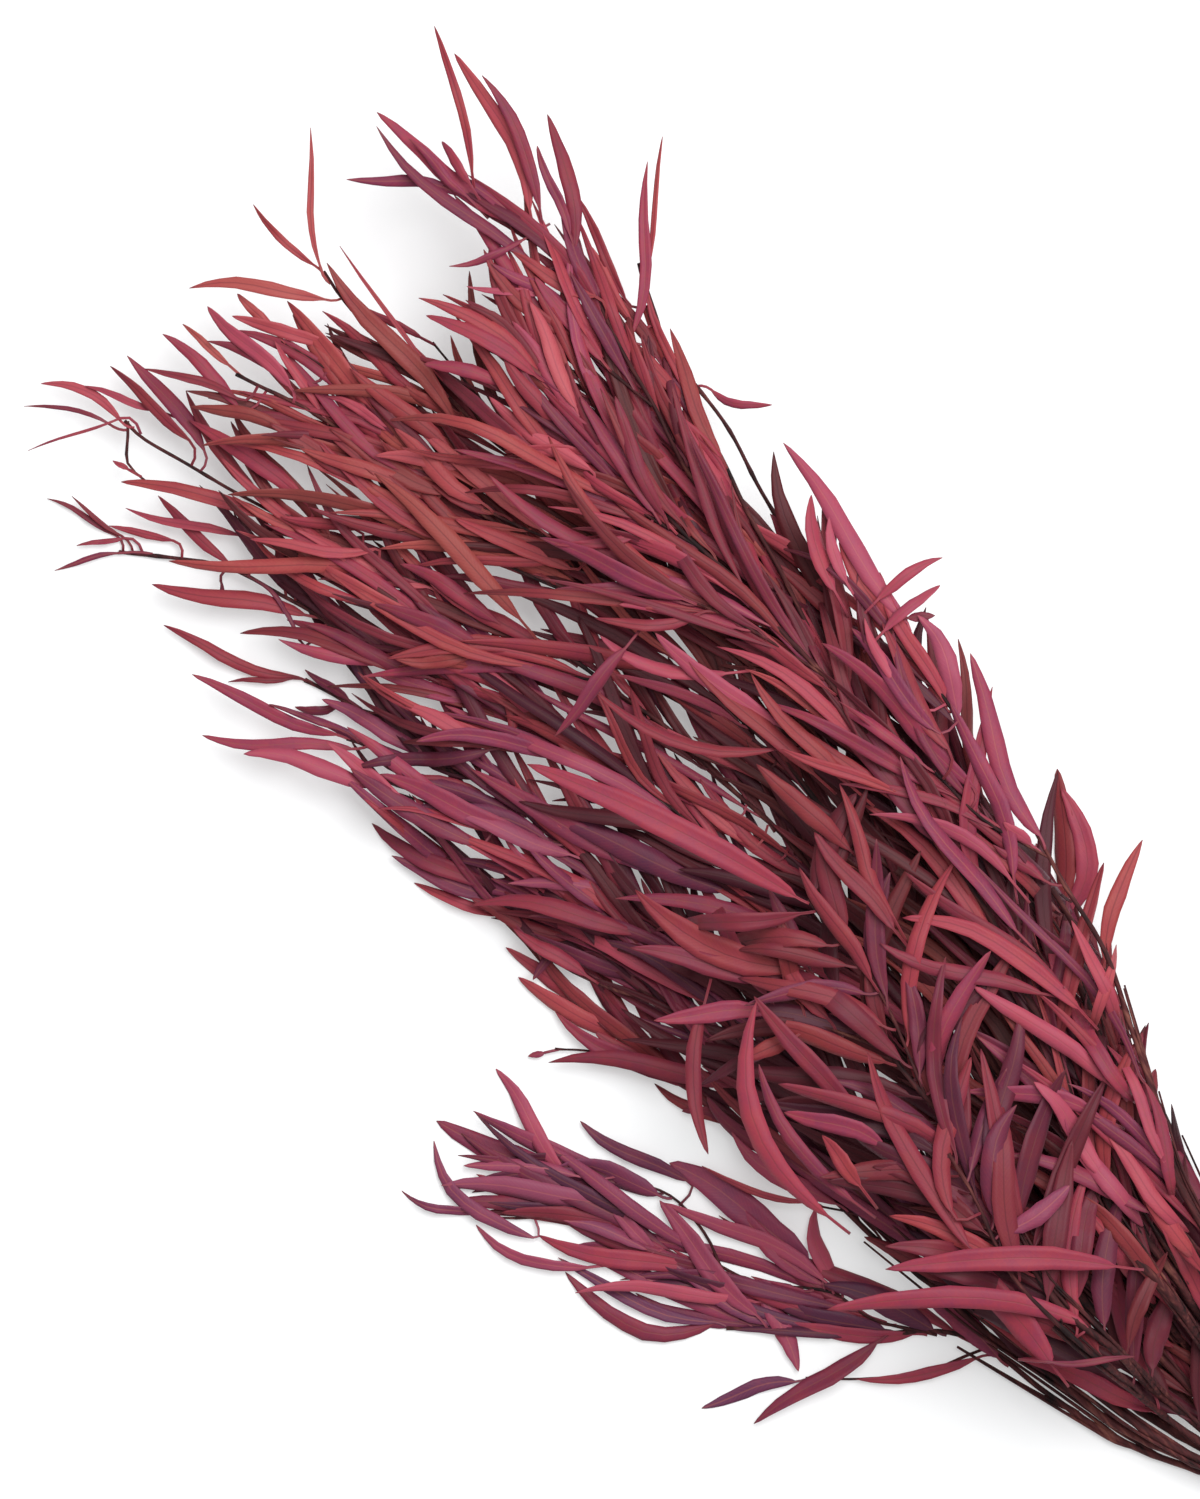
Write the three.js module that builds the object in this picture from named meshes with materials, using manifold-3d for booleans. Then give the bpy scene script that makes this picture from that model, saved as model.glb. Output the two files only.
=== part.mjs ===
// A bunch of dried willow-leaf eucalyptus, laid down: sixteen leafy stems held by a twine tie.
// Each stem is one piece with its side twigs and narrow leaves. Stems are laid down one after
// another, and every twig and leaf settles just above what already lies beneath it.
// Plan points are millimetres on the surface that the bunch lies on, and z is the height above it.
import * as THREE from 'three';
import { mergeVertices } from 'three/addons/utils/BufferGeometryUtils.js';
import Module from 'manifold-3d';

const wasm = await Module();
wasm.setup();

// Where the bunch points and where its middle lies, in plan
const BUNCH_HEADING = 126;
const BUNCH_CENTRE = { x: 300.36, y: 212.57 };

// The tied neck, and how the stems fan out of it. Lengths along the neck count from the tie.
const TIE = { x: 528, y: -12 };
const NECK_HEADING = 131;
const CUT_END = -62;
const NECK_END = 14;
const FAN_START = { along: 75, pitch: 4.9, rowPitch: 6 };
const FAN_FALL = 150;
const FAN_MIDDLE = { along: 110, pitch: 6.2 };
const FAN_END = { along: 150, pitch: 7.7 };
const COLUMN_PITCH = 4.5;
const ROW_PITCH = 3.85;
const COLUMNS = 4;
const HELD_STATIONS = 3;

// Stems and twigs. A stem climbs and falls no steeper than its slope, and a twig or leaf can grow at
// places a few millimetres apart, which keep clear of the ends of each stretch.
const STEM_SIDES = 6;
const STEM_BASE_RADIUS = 2;
const STEM_TIP_RADIUS = 0.8;
const STEM_SLOPE = 0.16;
const TWIG_SIDES = 3;
const BLADE_SIDES = 3;
const TWIG_RADIUS = 0.95;
const TWIG_TIP_RADIUS = 0.65;
const PLACE_STEP = 4;
const PLACE_INSET = 0.4;

// Leaves: a blade's width at parts of its length, as parts of its full width, then its keel and
// stalk. A leaf rises and then falls by parts of its length, and is turned and twisted by radians.
const BLADE_AT = [0.42, 1];
const BLADE_WIDTH = [1, 0];
const KEEL = 0.8;
const STALK_WIDTH = 1.3;
const STALK_LENGTH = 6;
const STALK_DEPTH = 0.6;
const RISE = [0.03, 0.2];
const FALL = [0.06, 0.2];
const ROLL = 0.35;
const TWIST = 0.45;

// Leaves that grow by rule: their ranges as radians or parts of a stem's own values, and how far
// from the tie or from a twig's foot they start
const LEAF_SPREAD = [0.2, 0.62];
const LEAF_LENGTH_RANGE = [0.78, 1.2];
const LEAF_WIDTH_RANGE = [6.5, 10];
const LEAF_STEP_RANGE = [0.75, 1.25];
const LEAF_BOW = 0.09;
const LEAFLESS = 95;
const FILL_FROM = 215;
const TWIG_LEAFLESS = 14;
const OPENING_STEP = 0.1;
const OPENING_OVERLAP = 0.25;
const SEED = 2311;
const SEED_STEP = 131;

// How closely pieces lie on each other: the gaps between them, the first lengths of a twig or leaf
// that are free to touch its own stem, and the cells and samples that heights are measured with
const GAP = 0.9;
const OWN_GAP = 0.4;
const STEM_GAP = 0.36;
const SIDE_GAP = 0.2;
const FREE_START = 5;
const FIRST_SHARE = 0.4;
const FREE_STALK = 8;
const OWN_RISE = 0.3;
const STEM_REACH = 6;
const TWIG_REACH = 1;
const LEAF_REACH = 1;
const SAMPLE = 1.6;
const SETTLE_PASSES = 6;
const CELL = 1.6;
const FIELD = { x: -20, y: -110, columns: 400, rows: 462 };

// The tie
const BAND_WIDTH = 14;
const BAND_THICKNESS = 1.7;
const BAND_GAP = 0.35;
const BAND_CORNER = 1.8;
const KNOT_RADIUS = 3.4;
const KNOT_SHAPE = [1.3, 0.8, 1];
const KNOT_SEAT = 0.4;
const TWINE_RADIUS = 1;
const TWINE_END = 22;
const TWINE_END_LEAN = 1.35;
const TWINE_END_OUT = 0.45;
const TWINE_END_SEAT = 0.7;
const TWINE_END_ASIDE = 1.5;
const CORNER_SEGMENTS = 5;
const KNOT_SEGMENTS = [10, 6];
const TWINE_SIDES = 6;

const LEAF_FINISH = { color: 0x96404b, roughness: 0.6, metalness: 0 };
const TWINE_FINISH = { color: 0x9c8262, roughness: 0.9, metalness: 0 };

// Small places where the surface shows through or beside the leaves: x, y and radius
const OPENINGS = [
  [176, 424, 7], [197, 392, 7], [226, 404, 6], [212, 352, 9], [229, 358, 5], [302, 272, 9],
  [290, 284, 8], [275, 284, 6], [322, 316, 6], [300, 378, 8], [314, 356, 6], [266, 420, 5],
  [186, 350, 5], [336, 104, 11], [318, 118, 7], [352, 88, 5], [376, 71, 5], [255, 198, 5],
  [290, 415, 5], [240, 312, 4], [168, 462, 5], [183, 448, 6], [272, 490, 9], [402, 345, 8],
  [300, 462, 10], [226, 192, 8], [424, 308, 6],
];

// The leafy stems in the order in which they are laid down. rank is a stem's place in the fan, and
// column and row are its place in the tied neck. path and twigs are plan points. A leaf is
// [root x, root y, tip x, tip y, width, bow], where bow is how far its middle stands to its left.
// Where leaves also grow by rule, fill says how far apart they stand and how long they are.
const STEMS = [
  {
    name: 'leafy_stem_low_spray', rank: 0, column: 0, row: 0,
    path: [[355, 64], [318, 66], [290, 66.5]],
    twigs: [
      [[372, 59], [350, 70], [333, 81], [308, 84], [285, 89], [264, 99]],
      [[390, 55], [370, 48.5], [345, 46], [323, 46.5]],
      [[296, 86], [275, 99], [255, 109], [235, 113], [212, 111], [197, 111]],
      [[290, 88], [282, 105], [268, 120], [245, 128]],
    ],
    leaves: [
      [286, 65, 226, 89, 7, 12], [302, 68, 228, 100, 8, 0], [303, 77, 230, 81, 6, -3],
      [281, 87, 215, 104, 8, 3], [235, 91, 190, 108, 5, 6], [197, 111, 160, 122, 4, 3],
      [213, 103, 173, 142, 6, 9], [240, 118, 174, 150, 11, 0], [250, 116, 176, 124, 9, -2],
      [226, 128, 198, 171, 7, 0], [272, 122, 222, 131, 10, -4], [230, 128, 185, 132, 6, -2],
      [258, 107, 200, 113, 7, -2], [275, 126, 232, 150, 6, 2], [324, 94, 268, 133, 13, -2],
      [224, 107, 259, 98, 6, 2], [303, 72, 264, 118, 9, 2], [301, 82, 320, 49, 8, 2],
      [330, 86, 266, 117, 7, -3], [355, 63, 302, 28, 8, 0], [323, 46.5, 281, 34, 6, -2],
      [393, 53, 343, 46, 5, 3], [336, 83, 327, 115, 8, 4], [355, 63, 308, 80, 9, 3],
      [378, 61, 330, 84, 10, -3], [403, 52, 370, 80, 9, -2], [262, 98, 243, 116, 6, 0],
    ],
  },
  {
    name: 'leafy_stem_lower_edge', rank: 1, column: 0, row: 1,
    path: [[350, 104], [317, 132], [280, 162], [246, 189]],
    twigs: [
      [[375, 90], [358, 106], [342, 113], [328, 116]],
      [[293, 152], [270, 166], [240, 177], [222, 179]],
    ],
    leaves: [
      [325, 116, 281, 132, 4, 3], [222, 179, 211, 176, 3.5, 0], [280, 160, 222, 194, 9, 3],
      [275, 168, 238, 186, 8, 2], [255, 183, 207, 208, 9, 2], [245, 190, 202, 220, 9, 0],
      [302, 150, 262, 165, 6, 2], [298, 147, 273, 154, 6, -2], [340, 118, 293, 146, 9, 4],
      [320, 136, 283, 160, 8, 3],
    ],
  },
  {
    name: 'leafy_stem_lower_left', rank: 2, column: 0, row: 2,
    path: [[354, 117], [312, 157], [264, 198], [222, 230], [193, 247]],
    twigs: [[[264, 198], [238, 206], [216, 217]], [[312, 157], [290, 190], [262, 222], [232, 243]]],
    leaves: [
      [205, 236, 156, 257, 10, 2], [200, 233, 165, 246, 6, 1], [200, 246, 148, 270, 9, 3],
      [232, 222, 188, 240, 8, 2], [258, 208, 212, 226, 8, 2], [240, 205, 205, 228, 8, 0],
      [246, 226, 196, 248, 8, 0], [228, 229, 213, 207, 5, 0],
    ],
    fill: { step: 38, length: 74 },
  },
  {
    name: 'leafy_stem_left_low', rank: 3, column: 1, row: 0,
    path: [[362, 130], [318, 178], [272, 222], [226, 262], [186, 290], [150, 313], [120, 328]],
    twigs: [
      [[272, 222], [236, 232], [204, 240]], [[226, 262], [184, 274], [152, 284]],
      [[186, 290], [160, 297], [138, 304]], [[318, 178], [285, 198], [256, 220]],
    ],
    leaves: [
      [117, 328, 64, 350, 6, 3], [116, 328.5, 90, 327, 3, 0], [138, 307, 76, 330, 7, 2],
      [135, 308, 107, 318, 3, 0], [140, 300, 80, 305.5, 6.5, 1], [150, 282, 97, 298, 9, -3],
      [172, 268, 130, 303, 9, 0], [175, 295, 128, 320, 8, 0], [145, 318, 121, 332, 5, 0],
      [140, 315, 117, 317, 5, 2], [190, 262, 140, 292, 10, 2], [212, 262, 152, 290, 11, 1],
      [262, 252, 188, 292, 11, 2], [283, 250, 232, 266, 10, 3], [290, 243, 214, 276, 12, 0],
      [300, 252, 240, 276, 10, -2], [260, 226, 188, 237, 10, -5], [254, 244, 203, 246, 7, -3],
      [230, 254, 178, 276, 9, 0],
    ],
    fill: { step: 34, length: 78 },
  },
  {
    name: 'leafy_stem_right_edge', rank: 15, column: 3, row: 0,
    path: [[458, 172], [442, 200], [426, 232]],
    twigs: [],
    leaves: [
      [422, 233, 424.5, 292, 9, -2], [427, 229, 426, 284, 9, -9], [449, 190, 425, 233, 7, 0],
      [445, 193, 446, 222, 6, 2], [462, 143, 464, 171, 7, 2], [485, 104, 462, 146, 8, -2],
      [432, 214, 416, 262, 10, 2],
    ],
  },
  {
    name: 'leafy_stem_left', rank: 6, column: 1, row: 1,
    path: [
      [385, 150], [342, 205], [292, 255], [238, 295], [186, 322], [142, 343], [116, 360],
      [93, 372], [66, 378], [46, 380],
    ],
    twigs: [[[238, 295], [204, 300], [172, 306]], [[292, 255], [262, 282], [226, 308], [194, 332]]],
    leaves: [
      [45, 386, 17, 401, 3, -1], [47, 386, 27, 402, 2.5, 1], [48, 385, 29, 382, 3, 0],
      [46, 379, 20, 372, 3, -1], [68, 384, 42, 390, 4, 0], [93, 372, 62, 402, 6, 1],
      [95, 386, 49, 397, 5, 1], [91, 370, 82, 360, 2.5, 3], [119, 344, 97, 370, 2.5, -4],
      [115, 362, 110, 385, 6, 0], [116, 363, 120, 379, 5, 0], [163, 338, 111, 344, 7, 2],
      [145, 345, 114, 352, 5, -1], [172, 330, 122, 350, 7, 0], [205, 303, 197, 350, 9, -2],
      [190, 315, 150, 330, 8, 0], [200, 296, 160, 318, 8, 0], [187, 335, 150, 358, 8, 0],
    ],
    fill: { step: 31, length: 80 },
  },
  {
    name: 'leafy_stem_left_high', rank: 7, column: 1, row: 2,
    path: [
      [392, 160], [350, 222], [298, 280], [240, 328], [182, 360], [130, 382], [100, 400],
      [74, 414], [57, 425], [49, 433],
    ],
    twigs: [[[52, 431], [50, 415], [57, 408]], [[240, 328], [205, 333], [168, 352], [146, 357]]],
    leaves: [
      [50, 434, 15, 447, 5, -5], [49, 434, 8, 438, 2.5, -3], [47, 433, 10, 420, 1.6, 0],
      [62, 436, 33, 446, 4, 0], [75, 424, 43, 454, 6, 0], [81, 420, 50, 458, 8, -2],
      [60, 407, 44, 416, 3, 0], [123, 398, 75, 432, 9, -2], [142, 388, 112, 393, 6, 0],
      [200, 337, 150, 358, 9, -2], [196, 340, 158, 336, 7, 2], [172, 362, 118, 388, 8, 2],
      [222, 335, 172, 366, 8, 0], [150, 380, 100, 384, 6, 2], [205, 350, 160, 374, 8, -2],
    ],
    fill: { step: 28, length: 80 },
  },
  {
    name: 'leafy_stem_upper_left_low', rank: 8, column: 2, row: 0,
    path: [
      [400, 170], [358, 240], [305, 304], [250, 355], [194, 394], [148, 420], [116, 439],
      [95, 450],
    ],
    twigs: [[[194, 394], [160, 425], [130, 452], [113, 463]], [[250, 355], [210, 370], [172, 392]]],
    leaves: [
      [95, 437, 65, 466, 7, -2], [92, 452, 73, 470, 4, 0], [120, 447, 83, 463, 6, -2],
      [115, 426, 76, 437, 7, -3], [116, 445, 83, 477, 8, 0], [112, 462, 95, 482, 5, 0],
      [133, 461, 93, 473, 7, 0], [95, 440, 58, 452, 5, -2], [126, 430, 110, 463, 5, 0],
      [152, 438, 115, 479, 10, 0], [163, 429, 130, 441, 5, -2], [150, 405, 108, 430, 9, 0],
      [190, 380, 140, 410, 8, 2], [170, 400, 120, 420, 8, -2], [180, 396, 132, 428, 9, 2],
    ],
    fill: { step: 27, length: 82 },
  },
  {
    name: 'leafy_stem_upper_left', rank: 9, column: 2, row: 1,
    path: [
      [408, 182], [366, 256], [314, 322], [262, 374], [216, 408], [184, 436], [158, 460],
      [138, 478], [129.5, 490],
    ],
    twigs: [[[262, 374], [230, 380], [196, 395], [170, 415]], [[216, 408], [192, 440], [173, 463]]],
    leaves: [
      [130, 479.5, 76, 484, 7, -3], [129, 491, 101.5, 517.5, 4, 2], [128.5, 492, 124.5, 548, 3.5, 2],
      [170, 440, 129, 475, 7, 0], [171, 465, 145, 477, 4, 0], [190, 410, 150, 417, 8, -2],
      [208, 352, 150, 410, 10, -2], [182, 431, 131, 494, 10, 0], [178, 434, 162, 445, 6, 0],
      [178, 441, 136, 501, 2.5, 0], [198, 398, 158, 428, 9, 2], [228, 372, 182, 392, 8, 0],
      [180, 420, 140, 452, 9, 0],
    ],
    fill: { step: 27, length: 82 },
  },
  {
    name: 'leafy_stem_right_thin', rank: 13, column: 3, row: 1,
    path: [[441, 208], [406, 262], [370, 302], [346, 332], [328, 358], [312, 390], [296, 420], [278, 447]],
    twigs: [[[346, 332], [318, 358], [298, 384], [282, 410]]],
    leaves: [
      [275, 448, 309, 438, 4.5, -3], [322, 372, 308, 394, 6, 0], [332, 362, 292, 393, 7, -4],
      [352, 344, 310, 374, 8, 2], [325, 350, 313, 370, 6, 0], [292, 392, 285, 364, 5, 3],
    ],
    fill: { step: 44, length: 66 },
  },
  {
    name: 'leafy_stem_top_right', rank: 12, column: 3, row: 2,
    path: [
      [432, 205], [396, 258], [360, 300], [336, 330], [319, 356], [302, 390], [284, 423],
      [269, 449], [261, 475], [256, 495],
    ],
    twigs: [[[336, 330], [302, 366], [278, 398], [262, 428]]],
    leaves: [
      [253, 466, 259, 535, 6, -2], [256, 488, 265, 545, 3, 0], [252, 472, 234, 503, 5, 0],
      [250, 480, 231, 521, 5, 0], [286, 410, 268, 468, 8, 2], [260, 415, 255, 455, 6, 0],
      [266, 388, 243, 442, 7, 0], [262, 420, 250, 470, 7, 0], [270, 400, 238, 462, 8, 0],
      [276, 405, 246, 432, 7, 0],
    ],
    fill: { step: 40, length: 72 },
  },
  {
    name: 'leafy_stem_top_left', rank: 11, column: 2, row: 2,
    path: [
      [424, 199], [386, 260], [346, 312], [310, 358], [282, 400], [260, 438], [240, 476],
      [222, 499], [205, 512],
    ],
    twigs: [[[260, 438], [230, 462], [206, 480]], [[310, 358], [276, 386], [248, 420], [228, 452]]],
    leaves: [
      [185, 520, 139, 527, 6, -3], [210, 505, 151, 554, 8, 3], [215, 492, 151, 548, 7, 4],
      [187, 520, 164, 543, 5, 0], [188, 525, 177, 542, 5, 0], [189, 530, 174, 588, 4.5, -2],
      [212, 515, 182, 577, 8, -5], [216, 515, 193, 568, 7, -4], [230, 500, 219, 553, 8, -3],
      [228, 505, 215, 540, 5, 0], [210, 503, 180, 492, 4, 2], [220, 480, 187, 484, 4, 0],
      [225, 478, 197, 493, 6, 0], [238, 480, 205, 498, 7, 2], [245, 450, 214, 488, 8, 0],
      [252, 440, 228, 490, 7, 0],
    ],
    fill: { step: 38, length: 76 },
  },
  {
    name: 'leafy_stem_upper_middle', rank: 10, column: 2, row: 3,
    path: [[416, 190], [375, 266], [326, 332], [280, 380], [245, 416], [218, 447], [200, 464]],
    twigs: [[[326, 332], [292, 352], [262, 364]], [[280, 380], [250, 398], [214, 416]]],
    leaves: [
      [222, 448, 168, 479, 8, -6], [215, 445, 171, 472, 8, -3], [200, 445, 170, 453, 7, -2],
      [225, 425, 202, 455, 8, 0], [248, 414, 202, 418, 7, -3], [268, 384, 225, 437, 9, 0],
      [269, 386, 246, 440, 7, 2], [277, 358, 216, 384, 10, 0], [256, 386, 222, 381, 5, 2],
      [240, 425, 205, 470, 8, 0], [232, 432, 212, 478, 8, 0], [236, 411, 196, 440, 8, 2],
      [262, 392, 232, 440, 8, 0], [285, 352, 238, 352, 6, 4], [290, 330, 240, 345, 7, 6],
      [310, 300, 236, 325, 7, 10], [250, 340, 222, 305, 8, 0], [310, 310, 262, 346, 9, 2],
      [325, 290, 275, 335, 9, 0], [340, 285, 300, 330, 8, 2], [464, 78, 430, 123, 9, -2],
    ],
    fill: { step: 34, length: 74 },
  },
  {
    name: 'leafy_stem_right', rank: 14, column: 3, row: 3,
    path: [[446, 205], [418, 258], [388, 302], [367, 333], [354, 349]],
    twigs: [[[418, 258], [392, 272], [372, 292]]],
    leaves: [
      [362, 350, 313, 422, 10, 0], [333, 363, 324, 401, 9, 3], [338, 366, 331, 392, 6, 2],
      [350, 359, 376, 376, 6, 2], [353, 347, 375, 365, 6, 1], [362, 352, 373, 353, 5, 0],
      [384, 308, 366, 353, 10, -4], [404, 250, 379, 318, 9, -4], [419, 262, 387, 338, 10, 4],
      [388, 285, 328, 342, 9, -2], [378, 300, 352, 350, 9, 2], [372, 308, 340, 348, 8, 0],
      [364, 318, 345, 352, 6, 2], [418, 262, 400, 271, 6, 0], [416, 248, 396, 262, 6, 0],
      [357, 283, 312, 300, 6, 0], [403, 248, 347, 274, 7, -8], [405, 228, 359, 297, 8, 4],
      [427, 200, 361, 251, 8, -2], [430, 197, 360, 233, 9, -8], [415, 203, 351, 223, 8, 2],
      [441, 168, 388, 206, 9, -2], [438, 154, 385, 164, 9, -4], [458, 116, 399, 139, 8, -4],
      [481, 91, 450, 137, 9, 2],
    ],
  },
  {
    name: 'leafy_stem_foreground_middle', rank: 5, column: 1, row: 3,
    path: [[385, 140], [353, 182], [322, 212]],
    twigs: [[[372, 158], [350, 205], [322, 240]], [[353, 182], [328, 190], [304, 199]]],
    leaves: [
      [317, 211, 252, 221, 9, 2], [319, 213, 254, 244, 12, 8], [318, 241, 211, 294, 11, -3],
      [339, 260, 302, 294, 8, 0], [357, 232, 335, 286, 6, 2], [356, 229, 325, 267, 7, 0],
      [351, 209, 319, 253, 7, 0], [344, 151, 301, 202, 8, 0], [340, 121, 303, 175, 6, 6],
      [330, 115, 302, 200, 9, 16], [318, 186, 297, 177, 7, 0], [352, 143, 313, 156, 8, -2],
      [281, 197, 283, 139, 6.5, -5], [343, 127, 328, 147, 7, 0], [370, 168, 361, 213, 7, -2],
      [373, 168, 395, 220, 8, 5],
    ],
    fill: { step: 44, length: 70 },
  },
  {
    name: 'leafy_stem_foreground_low', rank: 4, column: 0, row: 3,
    path: [[392, 114], [378, 140]],
    twigs: [],
    leaves: [
      [466, 33, 408, 55, 8, -2], [418, 57, 452, 59, 3, -1], [379, 117, 387, 178, 8, 6],
      [386, 103, 346, 180, 8, 4], [397, 112, 405, 159, 10, 5], [397, 108, 426, 127, 8, -2],
      [419, 56, 382, 104, 12, 0], [432, 72, 330, 78, 9, -8], [444, 95, 353, 94, 10, -4],
    ],
  },
];

// Plan geometry
const heading = (degrees) => {
  const angle = THREE.MathUtils.degToRad(degrees);
  return { x: Math.cos(angle), y: Math.sin(angle) };
};
const asPoint = ([x, y]) => ({ x, y });
const mix = (a, b, part) => a + (b - a) * part;
const apart = (a, b) => Math.hypot(b.x - a.x, b.y - a.y);
const move = (point, way, distance) => ({
  x: point.x + way.x * distance,
  y: point.y + way.y * distance,
});
const wayFrom = (a, b) => {
  const length = apart(a, b) || 1;
  return { x: (b.x - a.x) / length, y: (b.y - a.y) / length };
};
const turned = (way, angle) => ({
  x: way.x * Math.cos(angle) - way.y * Math.sin(angle),
  y: way.x * Math.sin(angle) + way.y * Math.cos(angle),
});
const leftOf = (way) => ({ x: -way.y, y: way.x });

// A point on the bowed middle line of a leaf
const onMiddle = (root, tip, bow, at) => {
  const way = wayFrom(root, tip);
  return move(move(root, way, apart(root, tip) * at), leftOf(way), 4 * bow * at * (1 - at));
};

// Seeded draws, even between low and high
const DRAW_FACTOR = 16807;
const DRAW_MODULUS = 2147483647;
function drawsFrom(seed) {
  let state = seed;
  return (low, high) => {
    state = (state * DRAW_FACTOR) % DRAW_MODULUS;
    return mix(low, high, state / DRAW_MODULUS);
  };
}

// A field of square cells, each with the height of the highest thing in it
class HeightField {
  constructor(level) {
    this.heights = new Float64Array(FIELD.columns * FIELD.rows).fill(level);
  }

  cell(x, y) {
    const column = Math.floor((x - FIELD.x) / CELL);
    const row = Math.floor((y - FIELD.y) / CELL);
    return row * FIELD.columns + column;
  }

  top(x, y, reach) {
    const middle = this.cell(x, y);
    let highest = -Infinity;
    for (let row = -reach; row <= reach; row += 1) {
      for (let column = -reach; column <= reach; column += 1) {
        highest = Math.max(highest, this.heights[middle + row * FIELD.columns + column]);
      }
    }
    return highest;
  }

  cover(x, y, z) {
    const cell = this.cell(x, y);
    this.heights[cell] = Math.max(this.heights[cell], z);
  }

  take(other) {
    other.heights.forEach((z, cell) => {
      this.heights[cell] = Math.max(this.heights[cell], z);
    });
  }
}

// A station is one cross-section of a stem, twig or leaf: its middle, how far out its left edge
// lies and how much higher than the middle, and how far the section reaches below and above.
function samplesBetween(a, b, visit) {
  const count = Math.max(2, Math.ceil(apart(a, b) / SAMPLE));
  for (let k = 0; k <= count; k += 1) {
    const part = k / count;
    const sample = {};
    for (const key of ['x', 'y', 'z', 'out', 'lift', 'below', 'above']) {
      sample[key] = mix(a[key], b[key], part);
    }
    visit(sample, part);
  }
}

// The height that a sample's middle needs to clear a field over its whole width
function heightOver(field, sample, side, reach, gap) {
  let needed = field.top(sample.x, sample.y, reach) + gap + sample.below;
  for (const edge of [-1, 1]) {
    const point = move(sample, side, edge * sample.out);
    needed = Math.max(needed, field.top(point.x, point.y, reach) + gap - edge * sample.lift);
  }
  return needed;
}

// Marks a line of stations in a field, at five points across each sample
const ACROSS = [-1, -0.5, 0, 0.5, 1];
function coverField(field, stations) {
  for (let i = 1; i < stations.length; i += 1) {
    const side = leftOf(wayFrom(stations[i - 1], stations[i]));
    samplesBetween(stations[i - 1], stations[i], (sample) => {
      for (const across of ACROSS) {
        const point = move(sample, side, across * sample.out);
        field.cover(point.x, point.y, sample.z + across * sample.lift + sample.above);
      }
    });
  }
}

// Raises the stations after the held ones, by as little as clears what lies beneath each stretch,
// and never above the highest thing that the stretches beside a station must clear
function settle(stations, held, needed) {
  const limits = [];
  stations.forEach((station) => { station.most = station.z; });
  for (let i = held; i < stations.length; i += 1) {
    const [a, b] = [stations[i - 1], stations[i]];
    const side = leftOf(wayFrom(a, b));
    samplesBetween(a, b, (sample, part) => {
      const height = needed(sample, side);
      if (i > held) {
        limits.push({ a, b, part, height });
        a.most = Math.max(a.most, height);
        b.most = Math.max(b.most, height);
      } else if (part * apart(a, b) > FREE_START) {
        b.z = Math.max(b.z, a.z + (height - a.z) / Math.max(part, FIRST_SHARE));
      }
    });
    b.most = Math.max(b.most, b.z);
  }
  for (let pass = 0; pass < SETTLE_PASSES; pass += 1) {
    for (const { a, b, part, height } of limits) {
      const lack = Math.max(0, height - mix(a.z, b.z, part));
      const share = lack / ((1 - part) ** 2 + part ** 2);
      a.z = Math.min(a.most, a.z + share * (1 - part));
      b.z = Math.min(b.most, b.z + share * part);
    }
  }
  for (const { a, b, part, height } of limits) {
    if (height > mix(a.z, b.z, part)) {
      a.z = a.most;
      b.z = b.most;
    }
  }
}

// The nearest place on a line of stations
function nearestOn(stations, point) {
  let best = { distance: Infinity };
  for (let i = 1; i < stations.length; i += 1) {
    const [a, b] = [stations[i - 1], stations[i]];
    const length = apart(a, b);
    const way = wayFrom(a, b);
    const along = (point.x - a.x) * way.x + (point.y - a.y) * way.y;
    const part = THREE.MathUtils.clamp(along / length, 0, 1);
    const distance = apart(point, { x: mix(a.x, b.x, part), y: mix(a.y, b.y, part) });
    if (distance < best.distance) {
      best = { distance, z: mix(a.z, b.z, part), out: mix(a.out, b.out, part) };
    }
  }
  return best;
}

// A stem's flat sides lie above and below it, and the first row lies on the tie's underside
const flatHalf = Math.cos(Math.PI / STEM_SIDES);
const firstRowHeight = BAND_THICKNESS + BAND_GAP + STEM_BASE_RADIUS * flatHalf;
const round = (radius) => ({ out: radius, lift: 0, below: radius * flatHalf, above: radius * flatHalf });

// The stations of a main stem: the straight neck and the fan by rule, and then its own path
function stemStations(stem) {
  const way = heading(NECK_HEADING);
  const side = turned(way, -Math.PI / 2);
  const inColumn = (stem.column - (COLUMNS - 1) / 2) * COLUMN_PITCH;
  const inFan = stem.rank - (STEMS.length - 1) / 2;
  const height = firstRowHeight + stem.row * ROW_PITCH;
  const plan = [
    move(move(TIE, way, CUT_END), side, inColumn),
    move(move(TIE, way, NECK_END), side, inColumn),
    move(move(TIE, way, FAN_START.along), side, inFan * FAN_START.pitch),
    move(move(TIE, way, FAN_MIDDLE.along), side, inFan * FAN_MIDDLE.pitch),
    move(move(TIE, way, FAN_END.along), side, inFan * FAN_END.pitch),
    ...stem.path.map(asPoint),
  ];
  const lengths = plan.map((point, i) => (i < 2 ? 0 : apart(plan[i - 1], point)));
  const total = lengths.reduce((sum, length) => sum + length, 0);
  let along = 0;
  return plan.map((point, i) => {
    along += lengths[i];
    const radius = mix(STEM_BASE_RADIUS, STEM_TIP_RADIUS, along / total);
    const fanHeight = firstRowHeight + stem.row * FAN_START.rowPitch;
    const lowered = fanHeight * (1 - (along - lengths[2]) / FAN_FALL);
    const z = i < HELD_STATIONS ? fanHeight : Math.max(radius * flatHalf, lowered);
    return { ...point, ...round(radius), z: i < 2 ? height : z, along };
  });
}

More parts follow.
